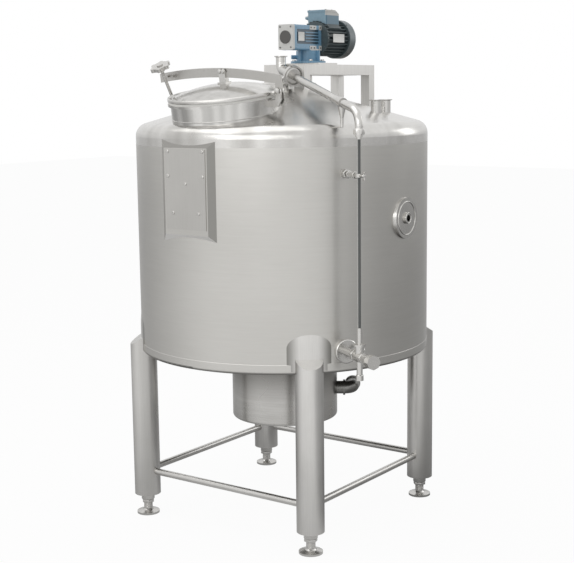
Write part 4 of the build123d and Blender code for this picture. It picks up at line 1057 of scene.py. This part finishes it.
def makeFloor(look):
    clearSelection()
    bpy.ops.mesh.primitive_plane_add(size=look["floorSize"], location=(0, 0, look["floorDrop"]))
    floor = bpy.context.object
    floor.name = "studioFloor"
    material, tree = startMaterial("floorWhite")
    tree.nodes.clear()
    matt = addNode(tree, "ShaderNodeBsdfDiffuse", (0, 150), {"Color": opaque([look["floorGrey"]] * 3)})
    # in reflections the floor glows darker near the tank, as painted shade under it
    where = objectPlace(tree, (-1500, -400))
    away = vectorNode(tree, (-1300, -600), "LENGTH", where)
    rise = mapRange(tree, (-1100, -600), away, look["nearFloor"], (look["nearShadeGrey"], 1.0), "SMOOTHSTEP")
    grey = screenGrey(tree, (-1200, -400), where)
    dimmed = mixColour(tree, (-700, -400), 1, grey, rise, blend_type="MULTIPLY")
    glossy = addNode(tree, "ShaderNodeLightPath", (-900, -700)).outputs["Is Glossy Ray"]
    seen = mixColour(tree, (-400, -400), glossy, white, dimmed)
    glow = addNode(tree, "ShaderNodeEmission", (0, -50), {"Color": seen})
    share = mathNode(tree, (0, 350), "MULTIPLY", backgroundMask(tree, (-600, 0)), look["whiteShare"])
    mixShaders(tree, share, matt, glow, "ShaderNodeOutputMaterial")
    floor.data.materials.append(material)


softBoxes = {
    "keyBox": {"place": (0.9, -5.3, 3.1), "aim": (0, 0, 1.1), "size": (6.5, 2.4), "power": 66},
    "topBox": {"place": (-0.8, -1.0, 4.8), "aim": (0, 0, 1.5), "size": (4.0, 4.0), "power": 48},
    "rimBox": {"place": (2.5, 3.9, 2.7), "aim": (0, 0, 1.5), "size": (1.6, 1.8), "power": 13},
}


def makeSoftBoxes(boxes):
    for name, box in boxes.items():
        data = bpy.data.lights.new(name, "AREA")
        data.shape = "RECTANGLE"
        data.size, data.size_y = box["size"]
        data.energy = box["power"]
        lamp = bpy.data.objects.new(name, data)
        bpy.context.scene.collection.objects.link(lamp)
        place = Vector(box["place"]) + tankAxis
        lamp.location = place
        lamp.rotation_mode = "QUATERNION"
        lamp.rotation_quaternion = (Vector(box["aim"]) + tankAxis - place).to_track_quat("-Z", "Y")


def makeScreen(look):
    # a round wall of grey cloth that only the steel sees
    clearSelection()
    bpy.ops.mesh.primitive_cylinder_add(vertices=96, radius=look["screenRadius"], depth=look["screenHeight"],
                                        end_fill_type="NOTHING", location=(0, 0, look["screenHeight"] / 2))
    wall = bpy.context.object
    wall.name = "studioScreen"
    applyPlace()
    material, tree = startMaterial("screenGrey")
    tree.nodes.clear()
    where = objectPlace(tree, (-1100, 0))
    height = splitVector(tree, (-900, -200), where)["Z"]
    rise = mapRange(tree, (-700, -200), height, look["lift"], (0.0, look["liftShare"]), "SMOOTHSTEP")
    lifted = mixColour(tree, (-300, 0), rise, screenGrey(tree, (-800, 0), where), white)
    glow = addNode(tree, "ShaderNodeEmission", (-100, 0), {"Color": lifted})
    addNode(tree, "ShaderNodeOutputMaterial", (100, 0), {0: glow.outputs[0]})
    wall.data.materials.append(material)
    wall.visible_camera = False
    wall.visible_diffuse = False
    wall.visible_shadow = False
    wall.visible_transmission = False


makeWorld(studio)
makeFloor(studio)
makeSoftBoxes(softBoxes)
makeScreen(studio)
print("studio lit")
